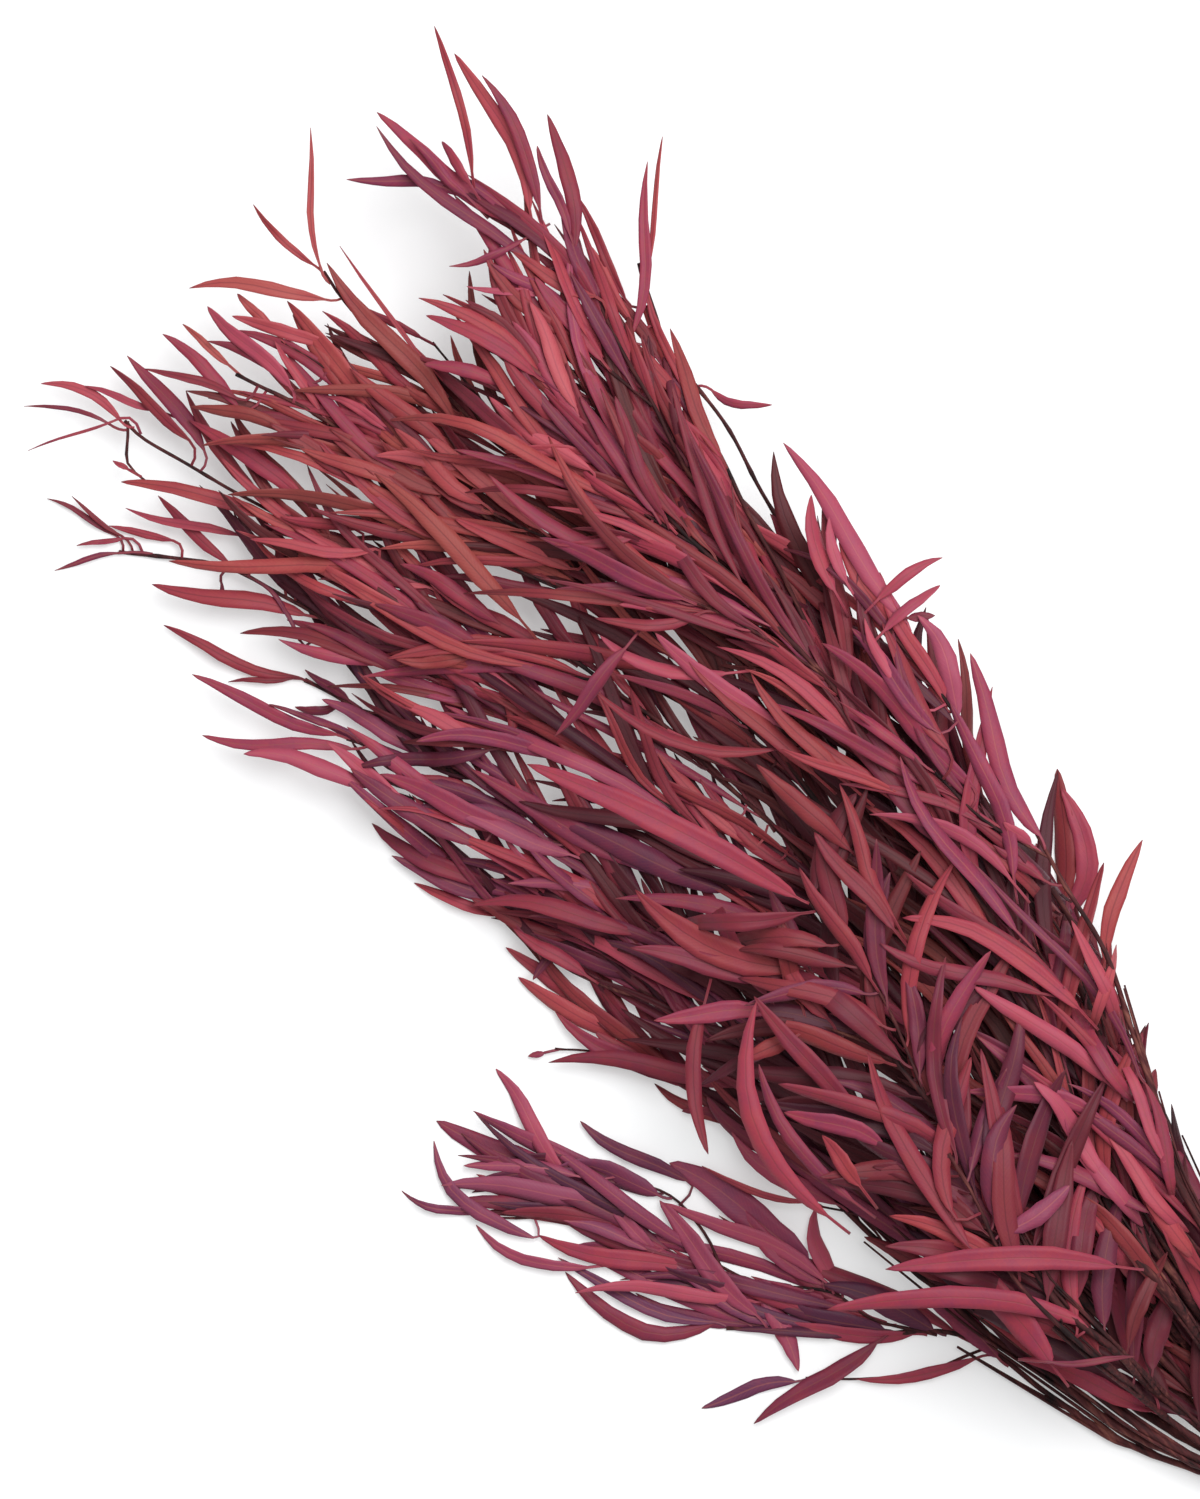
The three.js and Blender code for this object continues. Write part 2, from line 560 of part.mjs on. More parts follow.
// Lays a stem on everything beneath it, and then levels it to slopes that a woody stem can follow
function settleStem(stations, leavesLaid, stemsLaid) {
  settle(stations, HELD_STATIONS, (sample, side) => {
    let needed = heightOver(leavesLaid, sample, side, STEM_REACH, GAP);
    for (const other of stemsLaid) {
      const near = nearestOn(other, sample);
      const radii = near.out + sample.out;
      if (near.distance < radii + SIDE_GAP) {
        needed = Math.max(needed, near.z + radii * flatHalf + STEM_GAP);
      }
    }
    return needed;
  });
  const last = stations.length - 1;
  for (let i = last - 1; i >= HELD_STATIONS; i -= 1) {
    const drop = STEM_SLOPE * apart(stations[i], stations[i + 1]);
    stations[i].z = Math.max(stations[i].z, stations[i + 1].z - drop);
  }
  for (let i = HELD_STATIONS + 1; i <= last; i += 1) {
    const drop = STEM_SLOPE * apart(stations[i], stations[i - 1]);
    stations[i].z = Math.max(stations[i].z, stations[i - 1].z - drop);
  }
}

// The places along an axis where twigs and leaves can grow
function placesOn(stations, from) {
  const places = [];
  let along = stations[0].along;
  for (let i = 1; i < stations.length; i += 1) {
    const [a, b] = [stations[i - 1], stations[i]];
    const way = wayFrom(a, b);
    const length = apart(a, b);
    const count = Math.max(1, Math.round(length / PLACE_STEP));
    for (let k = 1; k <= count; k += 1) {
      const part = (k - PLACE_INSET) / count;
      const point = move(a, way, length * part);
      places.push({ ...point, z: mix(a.z, b.z, part), way, along: along + length * part });
    }
    along += length;
  }
  return places.filter((place) => place.along >= from);
}

// The place that a leaf or twig grows from: near its root, and better behind it than ahead.
// Each place holds one leaf or twig.
function jointFor(places, root, tip) {
  const way = wayFrom(root, tip);
  let best = { cost: Infinity };
  for (const place of places.filter((candidate) => !candidate.taken)) {
    const distance = apart(place, root);
    const out = wayFrom(place, root);
    const cost = distance * (2 - out.x * way.x - out.y * way.y);
    if (cost < best.cost) {
      best = { cost, place };
    }
  }
  best.place.taken = true;
  return best.place;
}

// What a twig or leaf must clear: all earlier stems, and its own stem where a gentle rise allows it
function clearing(fields, reach) {
  return (root) => (sample, side) => {
    const others = heightOver(fields.laid, sample, side, reach, GAP);
    const own = fields.own.top(sample.x, sample.y, 0) + OWN_GAP + sample.below;
    const gentle = root.z + OWN_RISE * Math.max(0, apart(sample, root) - FREE_STALK);
    return Math.max(others, Math.min(own, gentle));
  };
}

// A line's first stretch is a short stalk, which can rise steeply
function withStalk(stations) {
  const [start, next] = stations;
  if (apart(start, next) < STALK_LENGTH * 2) {
    return stations;
  }
  const stalkEnd = move(start, wayFrom(start, next), STALK_LENGTH);
  return [start, { ...start, ...stalkEnd }, ...stations.slice(1)];
}

function twigStations(path, places, fields) {
  const points = path.map(asPoint);
  const place = jointFor(places, points[0], points[1]);
  const stations = points.map((point, i) => {
    const radius = mix(TWIG_RADIUS, TWIG_TIP_RADIUS, i / (points.length - 1));
    return { ...point, z: place.z, out: radius, lift: 0, below: radius, above: radius, along: 0 };
  });
  stations[0] = { ...stations[0], x: place.x, y: place.y };
  const twig = withStalk(stations);
  settle(twig, 1, clearing(fields, TWIG_REACH)(twig[0]));
  return twig;
}

// A leaf's stations: where its stalk joins, the root of its blade, and so on to its tip
function leafStations([rootX, rootY, tipX, tipY, width, bow], places, fields, draw) {
  const tip = { x: tipX, y: tipY };
  const start = jointFor(places, { x: rootX, y: rootY }, tip);
  const stalkEnd = move(start, wayFrom(start, tip), STALK_LENGTH);
  const root = apart(start, { x: rootX, y: rootY }) < STALK_LENGTH ? stalkEnd : { x: rootX, y: rootY };
  const length = apart(root, tip);
  const rise = draw(...RISE) * length;
  const droop = draw(...FALL) * length;
  const roll = draw(-ROLL, ROLL);
  const twist = draw(-TWIST, TWIST);
  const stalk = { out: STALK_WIDTH / 2, lift: 0, below: STALK_DEPTH, above: 0 };
  const stations = [{ ...stalk, x: start.x, y: start.y, z: start.z }];
  BLADE_AT.forEach((at, i) => {
    const half = (width * BLADE_WIDTH[i]) / 2;
    stations.push({
      ...onMiddle(root, tip, bow, at),
      z: start.z + rise * at - droop * at * at,
      out: half * Math.cos(roll + twist * at),
      lift: half * Math.sin(roll + twist * at),
      below: i < BLADE_AT.length - 1 ? KEEL : 0,
      above: 0,
    });
  });
  const lifting = move(start, wayFrom(start, stations[1]), STALK_LENGTH);
  stations.splice(1, 0, { ...stalk, ...lifting, z: start.z });
  settle(stations, 1, clearing(fields, LEAF_REACH)(start));
  return stations;
}

// Whether a leaf would close one of the places where the surface shows through
function closesOpening([rootX, rootY, tipX, tipY, width, bow]) {
  const [root, tip] = [{ x: rootX, y: rootY }, { x: tipX, y: tipY }];
  return OPENINGS.some(([x, y, radius]) => {
    for (let at = 0; at <= 1; at += OPENING_STEP) {
      if (apart(onMiddle(root, tip, bow, at), { x, y }) < radius + width * OPENING_OVERLAP) {
        return true;
      }
    }
    return false;
  });
}

// Leaves by rule along an axis, on alternate sides, as far as their tips stay behind its end
function leavesByRule(places, from, fill, draw) {
  const leaves = [];
  const end = places[places.length - 1].along - fill.length;
  let side = 1;
  let along = from + fill.step * draw(0, 1);
  while (along < end) {
    const place = places.find((candidate) => candidate.along >= along);
    side = -side;
    const way = turned(place.way, side * draw(...LEAF_SPREAD));
    const length = fill.length * draw(...LEAF_LENGTH_RANGE);
    const root = move(place, way, STALK_LENGTH);
    const tip = move(root, way, length);
    const bow = -side * length * draw(0, LEAF_BOW);
    leaves.push([root.x, root.y, tip.x, tip.y, draw(...LEAF_WIDTH_RANGE), bow]);
    along += fill.step * draw(...LEAF_STEP_RANGE);
  }
  return leaves.filter((leaf) => !closesOpening(leaf));
}

// One stem with its twigs and leaves, as lines of stations
function growStem(stem, index, laid) {
  const draw = drawsFrom(SEED + index * SEED_STEP);
  const stations = stemStations(stem);
  settleStem(stations, laid.leaves, laid.stems);
  const fields = { laid: laid.all, own: new HeightField(-GAP) };
  coverField(fields.own, stations);
  const leafy = new HeightField(-GAP);
  const stemPlaces = placesOn(stations, LEAFLESS);
  const places = [...stemPlaces];
  const rules = [[stemPlaces, FILL_FROM]];
  const twigs = stem.twigs.map((path) => {
    const twig = twigStations(path, places, fields);
    coverField(fields.own, twig);
    coverField(leafy, twig);
    const twigPlaces = placesOn(twig, 0);
    rules.push([twigPlaces, TWIG_LEAFLESS]);
    places.push(...twigPlaces);
    return twig;
  });
  const byRule = rules.flatMap(([axis, from]) => (
    stem.fill ? leavesByRule(axis, from, stem.fill, draw) : []
  ));
  const leaves = [...byRule, ...stem.leaves].map((leaf) => {
    const blade = leafStations(leaf, places, fields, draw);
    coverField(fields.own, blade);
    coverField(leafy, blade);
    return blade;
  });
  laid.leaves.take(leafy);
  laid.all.take(fields.own);
  laid.stems.push(stations);
  return { stations, twigs, leaves };
}

// Bends a unit cone or cylinder round a line of stations; corner gives each corner's place
function bent(geometry, sides, stations, corner) {
  const position = geometry.attributes.position;
  const rows = stations.length - 1;
  for (let v = 0; v < position.count; v += 1) {
    const [x, y, z] = [position.getX(v), position.getY(v), position.getZ(v)];
    const i = Math.round((y + 0.5) * rows);
    const before = stations[Math.max(i - 1, 0)];
    const after = stations[Math.min(i + 1, rows)];
    const side = leftOf(wayFrom(before, after));
    const onAxis = Math.hypot(x, z) < 1e-6;
    const turn = Math.atan2(x, z);
    const place = onAxis ? { out: 0, up: 0 } : corner(stations[i], turn, sides);
    const point = move(stations[i], side, place.out);
    position.setXYZ(v, point.x, point.y, stations[i].z + place.up);
  }
  return geometry;
}

const roundCorner = (station, turn) => ({
  out: station.out * Math.cos(turn),
  up: station.out * Math.sin(turn),
});

// A blade's three corners: its left edge, its right edge and the keel below its middle
function bladeCorner(station, turn, sides) {
  const corner = (Math.round((turn * sides) / (2 * Math.PI)) + sides) % sides;
  if (corner === 2) {
    return { out: 0, up: -station.below };
  }
  const edge = corner === 0 ? 1 : -1;
  return { out: edge * station.out, up: edge * station.lift };
}

function rod(stations, sides) {
  const unit = new THREE.CylinderGeometry(1, 1, 1, sides, stations.length - 1);
  return bent(unit, sides, stations, roundCorner);
}

// Splits each wall with four corners along the diagonal that bulges outwards, so that the walls of
// a thin twisted blade never pass through each other. Each side starts with the tip's triangle.
function bulged(geometry, sides, rows) {
  const index = geometry.index.array;
  const corner = (v) => new THREE.Vector3().fromBufferAttribute(geometry.attributes.position, v);
  const walls = rows - 1;
  for (let k = 0; k < sides * walls; k += 1) {
    const start = (Math.floor(k / walls) + 1) * 3 + k * 6;
    const [a, b, d, , c] = index.slice(start, start + 6);
    const half = new THREE.Plane().setFromCoplanarPoints(corner(a), corner(b), corner(d));
    if (half.distanceToPoint(corner(c)) > 0) {
      index.set([a, b, c, a, c, d], start);
    }
  }
  return geometry;
}

function blade(stations) {
  const rows = stations.length - 1;
  const unit = new THREE.ConeGeometry(1, 1, BLADE_SIDES, rows);
  return bulged(bent(unit, BLADE_SIDES, stations, bladeCorner), BLADE_SIDES, rows);
}

function toSolid(geometry) {
  geometry.deleteAttribute('normal');
  geometry.deleteAttribute('uv');
  const merged = mergeVertices(geometry);
  return new wasm.Manifold(new wasm.Mesh({
    numProp: 3,
    vertProperties: Float32Array.from(merged.attributes.position.array),
    triVerts: Uint32Array.from(merged.index.array),
  }));
}

function toGeometry(solid) {
  const { vertProperties, triVerts } = solid.getMesh();
  const geometry = new THREE.BufferGeometry();
  geometry.setAttribute('position', new THREE.BufferAttribute(vertProperties, 3));
  geometry.setIndex(new THREE.BufferAttribute(triVerts, 1));
  geometry.computeVertexNormals();
  return geometry;
}

function stemSolid({ stations, twigs, leaves }) {
  const pieces = [
    rod(stations, STEM_SIDES),
    ...twigs.map((twig) => rod(twig, TWIG_SIDES)),
    ...leaves.map(blade),
  ];
  return pieces.map(toSolid).reduce((whole, piece) => whole.add(piece));
}

// The tie: a flat band of twine round the whole neck, with a knot on top
function roundedOutline(Outline, halfWidth, bottom, top, radius) {
  const outline = new Outline();
  outline.moveTo(-halfWidth + radius, bottom);
  outline.lineTo(halfWidth - radius, bottom);
  outline.absarc(halfWidth - radius, bottom + radius, radius, -Math.PI / 2, 0);
  outline.absarc(halfWidth - radius, top - radius, radius, 0, Math.PI / 2);
  outline.absarc(-halfWidth + radius, top - radius, radius, Math.PI / 2, Math.PI);
  outline.absarc(-halfWidth + radius, bottom + radius, radius, Math.PI, Math.PI * 1.5);
  return outline;
}

function tieSolid() {
  const rows = STEMS.length / COLUMNS;
  const inside = ((COLUMNS - 1) * COLUMN_PITCH) / 2 + STEM_BASE_RADIUS + BAND_GAP;
  const low = firstRowHeight - STEM_BASE_RADIUS * flatHalf - BAND_GAP;
  const high = firstRowHeight + (rows - 1) * ROW_PITCH + STEM_BASE_RADIUS * flatHalf + BAND_GAP;
  const outer = roundedOutline(
    THREE.Shape, inside + BAND_THICKNESS, low - BAND_THICKNESS, high + BAND_THICKNESS,
    BAND_CORNER + BAND_THICKNESS,
  );
  outer.holes.push(roundedOutline(THREE.Path, inside, low, high, BAND_CORNER));
  const band = new THREE.ExtrudeGeometry(outer, {
    depth: BAND_WIDTH, bevelEnabled: false, curveSegments: CORNER_SEGMENTS,
  });
  band.translate(0, 0, -BAND_WIDTH / 2);
  const top = high + BAND_THICKNESS;
  const knot = new THREE.SphereGeometry(KNOT_RADIUS, ...KNOT_SEGMENTS);
  knot.scale(...KNOT_SHAPE);
  knot.translate(0, top + KNOT_RADIUS * KNOT_SEAT, 0);
  const ends = [-1, 1].map((side) => {
    const end = new THREE.CylinderGeometry(TWINE_RADIUS, TWINE_RADIUS, TWINE_END, TWINE_SIDES);
    end.rotateZ(side * TWINE_END_LEAN);
    end.translate(
      -side * TWINE_END * TWINE_END_OUT, top + KNOT_RADIUS * TWINE_END_SEAT, side * TWINE_END_ASIDE,
    );
    return end;
  });
  const way = heading(NECK_HEADING);
  const turn = new THREE.Matrix4().makeBasis(
    new THREE.Vector3(-way.y, way.x, 0),
    new THREE.Vector3(0, 0, 1),
    new THREE.Vector3(way.x, way.y, 0),
  );
  turn.setPosition(TIE.x, TIE.y, 0);
  return [band, knot, ...ends]
    .map((piece) => toSolid(piece.applyMatrix4(turn)))
    .reduce((whole, piece) => whole.add(piece));
}

// The whole bunch, turned so that it points along +X with its middle over the origin
const bunch = new THREE.Group();
bunch.name = 'dried_eucalyptus_bunch';
const laid = { leaves: new HeightField(-GAP), all: new HeightField(-GAP), stems: [] };
const grown = STEMS.map((stem, index) => growStem(stem, index, laid));

grown.forEach((parts, index) => {
  const leaf = new THREE.MeshStandardMaterial(LEAF_FINISH);
  const mesh = new THREE.Mesh(toGeometry(stemSolid(parts)), leaf);
  mesh.name = STEMS[index].name;
  bunch.add(mesh);
});

const tie = new THREE.Mesh(toGeometry(tieSolid()), new THREE.MeshStandardMaterial(TWINE_FINISH));
tie.name = 'twine_tie';
bunch.add(tie);

const turnBack = THREE.MathUtils.degToRad(-BUNCH_HEADING);
const middle = turned({ x: -BUNCH_CENTRE.x, y: -BUNCH_CENTRE.y }, turnBack);
bunch.rotation.z = turnBack;
bunch.position.set(middle.x, middle.y, 0);

export default bunch;
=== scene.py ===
# A bunch of dried willow-leaf eucalyptus, dyed burgundy red, lying on a white surface and seen
# from straight above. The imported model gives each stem's outline, and this script dresses it.
import cmath
import math
from dataclasses import dataclass, replace

import bmesh
import bpy
import numpy as np
from mathutils import Matrix, Vector


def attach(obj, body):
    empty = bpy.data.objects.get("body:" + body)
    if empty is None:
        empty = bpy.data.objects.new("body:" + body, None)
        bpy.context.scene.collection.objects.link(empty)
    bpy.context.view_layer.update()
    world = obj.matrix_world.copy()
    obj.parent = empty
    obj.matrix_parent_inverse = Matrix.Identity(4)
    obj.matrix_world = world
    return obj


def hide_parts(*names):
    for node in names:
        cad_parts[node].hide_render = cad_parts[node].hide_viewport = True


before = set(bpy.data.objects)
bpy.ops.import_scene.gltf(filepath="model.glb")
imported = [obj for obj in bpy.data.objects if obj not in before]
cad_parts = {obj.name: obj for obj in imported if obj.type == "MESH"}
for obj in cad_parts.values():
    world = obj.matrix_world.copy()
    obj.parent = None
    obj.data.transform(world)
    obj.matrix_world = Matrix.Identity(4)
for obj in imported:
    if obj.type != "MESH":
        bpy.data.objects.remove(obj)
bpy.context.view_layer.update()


# The stems as the florist lays them down: cut plainly at one end, tied in four rows of four, and
# fanned out beyond the tie. Plan points are millimetres on the surface, as complex numbers, with z
# above it. The bunch then turns so that it points along +X.
BUNCH_HEADING = 126
BUNCH_CENTRE = 300.36 + 212.57j
TIE = 528 - 12j
NECK_HEADING = 131
CUT_END = -62
NECK_END = 14
FAN_START = dict(along=75, pitch=4.9, row_pitch=6)
FAN_FALL = 150
FAN_MIDDLE = dict(along=110, pitch=6.2)
FAN_END = dict(along=150, pitch=7.7)
COLUMN_PITCH = 4.5
ROW_PITCH = 3.85
COLUMNS = 4
NECK_STATIONS, HELD_STATIONS = 2, 3
STEM_SIDES = 6
STEM_BASE_RADIUS = 2
STEM_TIP_RADIUS = 0.8
STEM_SLOPE = 0.16
BAND_THICKNESS = 1.7
BAND_GAP = 0.35

# rank is a stem's place in the fan, column and row its place in the tied neck. A leaf has a root, a
# tip, a width and a bow, and fill is how far apart more leaves stand, and how long they are. warmth
# goes from plum to brick red.
STEMS = [dict(
    name="low_spray", rank=0, column=0, row=0, warmth=0.25,
    path=[355+64j, 318+66j, 290+66.5j],
    twigs=[
        [372+59j, 350+70j, 333+81j, 308+84j, 285+89j, 264+99j], [390+55j, 370+48.5j, 345+46j, 323+46.5j],
        [296+86j, 275+99j, 255+109j, 235+113j, 212+111j, 197+111j], [290+88j, 282+105j, 268+120j, 245+128j],
    ],
    leaves=[
        (286+65j, 226+89j, 7, 12), (302+68j, 228+100j, 8, 0), (303+77j, 230+81j, 6, -3),
        (281+87j, 215+104j, 8, 3), (235+91j, 190+108j, 5, 6), (197+111j, 160+122j, 4, 3),
        (213+103j, 173+142j, 6, 9), (240+118j, 174+150j, 11, 0), (250+116j, 176+124j, 9, -2),
        (226+128j, 198+171j, 7, 0), (272+122j, 222+131j, 10, -4), (230+128j, 185+132j, 6, -2),
        (258+107j, 200+113j, 7, -2), (275+126j, 232+150j, 6, 2), (324+94j, 268+133j, 13, -2),
        (224+107j, 259+98j, 6, 2), (303+72j, 264+118j, 9, 2), (301+82j, 320+49j, 8, 2),
        (330+86j, 266+117j, 7, -3), (355+63j, 302+28j, 8, 0), (323+46.5j, 281+34j, 6, -2),
        (393+53j, 343+46j, 5, 3), (336+83j, 327+115j, 8, 4), (355+63j, 308+80j, 9, 3),
        (378+61j, 330+84j, 10, -3), (403+52j, 370+80j, 9, -2), (262+98j, 243+116j, 6, 0),
    ],
), dict(
    name="lower_edge", rank=1, column=0, row=1, warmth=0.6,
    path=[350+104j, 317+132j, 280+162j, 246+189j],
    twigs=[[375+90j, 358+106j, 342+113j, 328+116j], [293+152j, 270+166j, 240+177j, 222+179j]],
    leaves=[
        (325+116j, 281+132j, 4, 3), (222+179j, 211+176j, 3.5, 0), (280+160j, 222+194j, 9, 3),
        (275+168j, 238+186j, 8, 2), (255+183j, 207+208j, 9, 2), (245+190j, 202+220j, 9, 0),
        (302+150j, 262+165j, 6, 2), (298+147j, 273+154j, 6, -2), (340+118j, 293+146j, 9, 4),
        (320+136j, 283+160j, 8, 3),
    ],
), dict(
    name="lower_left", rank=2, column=0, row=2, warmth=0.4, fill=(38, 74),
    path=[354+117j, 312+157j, 264+198j, 222+230j, 193+247j],
    twigs=[[264+198j, 238+206j, 216+217j], [312+157j, 290+190j, 262+222j, 232+243j]],
    leaves=[
        (205+236j, 156+257j, 10, 2), (200+233j, 165+246j, 6, 1), (200+246j, 148+270j, 9, 3),
        (232+222j, 188+240j, 8, 2), (258+208j, 212+226j, 8, 2), (240+205j, 205+228j, 8, 0),
        (246+226j, 196+248j, 8, 0), (228+229j, 213+207j, 5, 0),
    ],
), dict(
    name="left_low", rank=3, column=1, row=0, warmth=0.36, fill=(34, 78),
    path=[362+130j, 318+178j, 272+222j, 226+262j, 186+290j, 150+313j, 120+328j],
    twigs=[
        [272+222j, 236+232j, 204+240j], [226+262j, 184+274j, 152+284j], [186+290j, 160+297j, 138+304j],
        [318+178j, 285+198j, 256+220j],
    ],
    leaves=[
        (117+328j, 64+350j, 6, 3), (116+328.5j, 90+327j, 3, 0), (138+307j, 76+330j, 7, 2),
        (135+308j, 107+318j, 3, 0), (140+300j, 80+305.5j, 6.5, 1), (150+282j, 97+298j, 9, -3),
        (172+268j, 130+303j, 9, 0), (175+295j, 128+320j, 8, 0), (145+318j, 121+332j, 5, 0),
        (140+315j, 117+317j, 5, 2), (190+262j, 140+292j, 10, 2), (212+262j, 152+290j, 11, 1),
        (262+252j, 188+292j, 11, 2), (283+250j, 232+266j, 10, 3), (290+243j, 214+276j, 12, 0),
        (300+252j, 240+276j, 10, -2), (260+226j, 188+237j, 10, -5), (254+244j, 203+246j, 7, -3),
        (230+254j, 178+276j, 9, 0),
    ],
), dict(
    name="right_edge", rank=15, column=3, row=0, warmth=0.6,
    path=[458+172j, 442+200j, 426+232j],
    twigs=[],
    leaves=[
        (422+233j, 424.5+292j, 9, -2), (427+229j, 426+284j, 9, -9), (449+190j, 425+233j, 7, 0),
        (445+193j, 446+222j, 6, 2), (462+143j, 464+171j, 7, 2), (485+104j, 462+146j, 8, -2),
        (432+214j, 416+262j, 10, 2),
    ],
), dict(
    name="left", rank=6, column=1, row=1, warmth=0.5, fill=(31, 80),
    path=[385+150j, 342+205j, 292+255j, 238+295j, 186+322j, 142+343j, 116+360j, 93+372j, 66+378j, 46+380j],
    twigs=[[238+295j, 204+300j, 172+306j], [292+255j, 262+282j, 226+308j, 194+332j]],
    leaves=[
        (45+386j, 17+401j, 3, -1), (47+386j, 27+402j, 2.5, 1), (48+385j, 29+382j, 3, 0),
        (46+379j, 20+372j, 3, -1), (68+384j, 42+390j, 4, 0), (93+372j, 62+402j, 6, 1),
        (95+386j, 49+397j, 5, 1), (91+370j, 82+360j, 2.5, 3), (119+344j, 97+370j, 2.5, -4),
        (115+362j, 110+385j, 6, 0), (116+363j, 120+379j, 5, 0), (163+338j, 111+344j, 7, 2),
        (145+345j, 114+352j, 5, -1), (172+330j, 122+350j, 7, 0), (205+303j, 197+350j, 9, -2),
        (190+315j, 150+330j, 8, 0), (200+296j, 160+318j, 8, 0), (187+335j, 150+358j, 8, 0),
    ],
), dict(
    name="left_high", rank=7, column=1, row=2, warmth=0.62, fill=(28, 80),
    path=[392+160j, 350+222j, 298+280j, 240+328j, 182+360j, 130+382j, 100+400j, 74+414j, 57+425j, 49+433j],
    twigs=[[52+431j, 50+415j, 57+408j], [240+328j, 205+333j, 168+352j, 146+357j]],
    leaves=[
        (50+434j, 15+447j, 5, -5), (49+434j, 8+438j, 2.5, -3), (47+433j, 10+420j, 1.6, 0),
        (62+436j, 33+446j, 4, 0), (75+424j, 43+454j, 6, 0), (81+420j, 50+458j, 8, -2),
        (60+407j, 44+416j, 3, 0), (123+398j, 75+432j, 9, -2), (142+388j, 112+393j, 6, 0),
        (200+337j, 150+358j, 9, -2), (196+340j, 158+336j, 7, 2), (172+362j, 118+388j, 8, 2),
        (222+335j, 172+366j, 8, 0), (150+380j, 100+384j, 6, 2), (205+350j, 160+374j, 8, -2),
    ],
), dict(
    name="upper_left_low", rank=8, column=2, row=0, warmth=0.74, fill=(27, 82),
    path=[400+170j, 358+240j, 305+304j, 250+355j, 194+394j, 148+420j, 116+439j, 95+450j],
    twigs=[[194+394j, 160+425j, 130+452j, 113+463j], [250+355j, 210+370j, 172+392j]],
    leaves=[
        (95+437j, 65+466j, 7, -2), (92+452j, 73+470j, 4, 0), (120+447j, 83+463j, 6, -2),
        (115+426j, 76+437j, 7, -3), (116+445j, 83+477j, 8, 0), (112+462j, 95+482j, 5, 0),
        (133+461j, 93+473j, 7, 0), (95+440j, 58+452j, 5, -2), (126+430j, 110+463j, 5, 0),
        (152+438j, 115+479j, 10, 0), (163+429j, 130+441j, 5, -2), (150+405j, 108+430j, 9, 0),
        (190+380j, 140+410j, 8, 2), (170+400j, 120+420j, 8, -2), (180+396j, 132+428j, 9, 2),
    ],
), dict(
    name="upper_left", rank=9, column=2, row=1, warmth=0.85, fill=(27, 82),
    path=[408+182j, 366+256j, 314+322j, 262+374j, 216+408j, 184+436j, 158+460j, 138+478j, 129.5+490j],
    twigs=[[262+374j, 230+380j, 196+395j, 170+415j], [216+408j, 192+440j, 173+463j]],
    leaves=[
        (130+479.5j, 76+484j, 7, -3), (129+491j, 101.5+517.5j, 4, 2), (128.5+492j, 124.5+548j, 3.5, 2),
        (170+440j, 129+475j, 7, 0), (171+465j, 145+477j, 4, 0), (190+410j, 150+417j, 8, -2),
        (208+352j, 150+410j, 10, -2), (182+431j, 131+494j, 10, 0), (178+434j, 162+445j, 6, 0),
        (178+441j, 136+501j, 2.5, 0), (198+398j, 158+428j, 9, 2), (228+372j, 182+392j, 8, 0),
        (180+420j, 140+452j, 9, 0),
    ],
), dict(
    name="right_thin", rank=13, column=3, row=1, warmth=0.7, fill=(44, 66),
    path=[441+208j, 406+262j, 370+302j, 346+332j, 328+358j, 312+390j, 296+420j, 278+447j],
    twigs=[[346+332j, 318+358j, 298+384j, 282+410j]],
    leaves=[
        (275+448j, 309+438j, 4.5, -3), (322+372j, 308+394j, 6, 0), (332+362j, 292+393j, 7, -4),
        (352+344j, 310+374j, 8, 2), (325+350j, 313+370j, 6, 0), (292+392j, 285+364j, 5, 3),
    ],
), dict(
    name="top_right", rank=12, column=3, row=2, warmth=0.62, fill=(40, 72),
    path=[
        432+205j, 396+258j, 360+300j, 336+330j, 319+356j, 302+390j, 284+423j, 269+449j, 261+475j, 256+495j,
    ],
    twigs=[[336+330j, 302+366j, 278+398j, 262+428j]],
    leaves=[
        (253+466j, 259+535j, 6, -2), (256+488j, 265+545j, 3, 0), (252+472j, 234+503j, 5, 0),
        (250+480j, 231+521j, 5, 0), (286+410j, 268+468j, 8, 2), (260+415j, 255+455j, 6, 0),
        (266+388j, 243+442j, 7, 0), (262+420j, 250+470j, 7, 0), (270+400j, 238+462j, 8, 0),
        (276+405j, 246+432j, 7, 0),
    ],
), dict(
    name="top_left", rank=11, column=2, row=2, warmth=0.52, fill=(38, 76),
    path=[424+199j, 386+260j, 346+312j, 310+358j, 282+400j, 260+438j, 240+476j, 222+499j, 205+512j],
    twigs=[[260+438j, 230+462j, 206+480j], [310+358j, 276+386j, 248+420j, 228+452j]],
    leaves=[
        (185+520j, 139+527j, 6, -3), (210+505j, 151+554j, 8, 3), (215+492j, 151+548j, 7, 4),
        (187+520j, 164+543j, 5, 0), (188+525j, 177+542j, 5, 0), (189+530j, 174+588j, 4.5, -2),
        (212+515j, 182+577j, 8, -5), (216+515j, 193+568j, 7, -4), (230+500j, 219+553j, 8, -3),
        (228+505j, 215+540j, 5, 0), (210+503j, 180+492j, 4, 2), (220+480j, 187+484j, 4, 0),
        (225+478j, 197+493j, 6, 0), (238+480j, 205+498j, 7, 2), (245+450j, 214+488j, 8, 0),
        (252+440j, 228+490j, 7, 0),
    ],
), dict(
    name="upper_middle", rank=10, column=2, row=3, warmth=0.6, fill=(34, 74),
    path=[416+190j, 375+266j, 326+332j, 280+380j, 245+416j, 218+447j, 200+464j],
    twigs=[[326+332j, 292+352j, 262+364j], [280+380j, 250+398j, 214+416j]],
    leaves=[
        (222+448j, 168+479j, 8, -6), (215+445j, 171+472j, 8, -3), (200+445j, 170+453j, 7, -2),
        (225+425j, 202+455j, 8, 0), (248+414j, 202+418j, 7, -3), (268+384j, 225+437j, 9, 0),
        (269+386j, 246+440j, 7, 2), (277+358j, 216+384j, 10, 0), (256+386j, 222+381j, 5, 2),
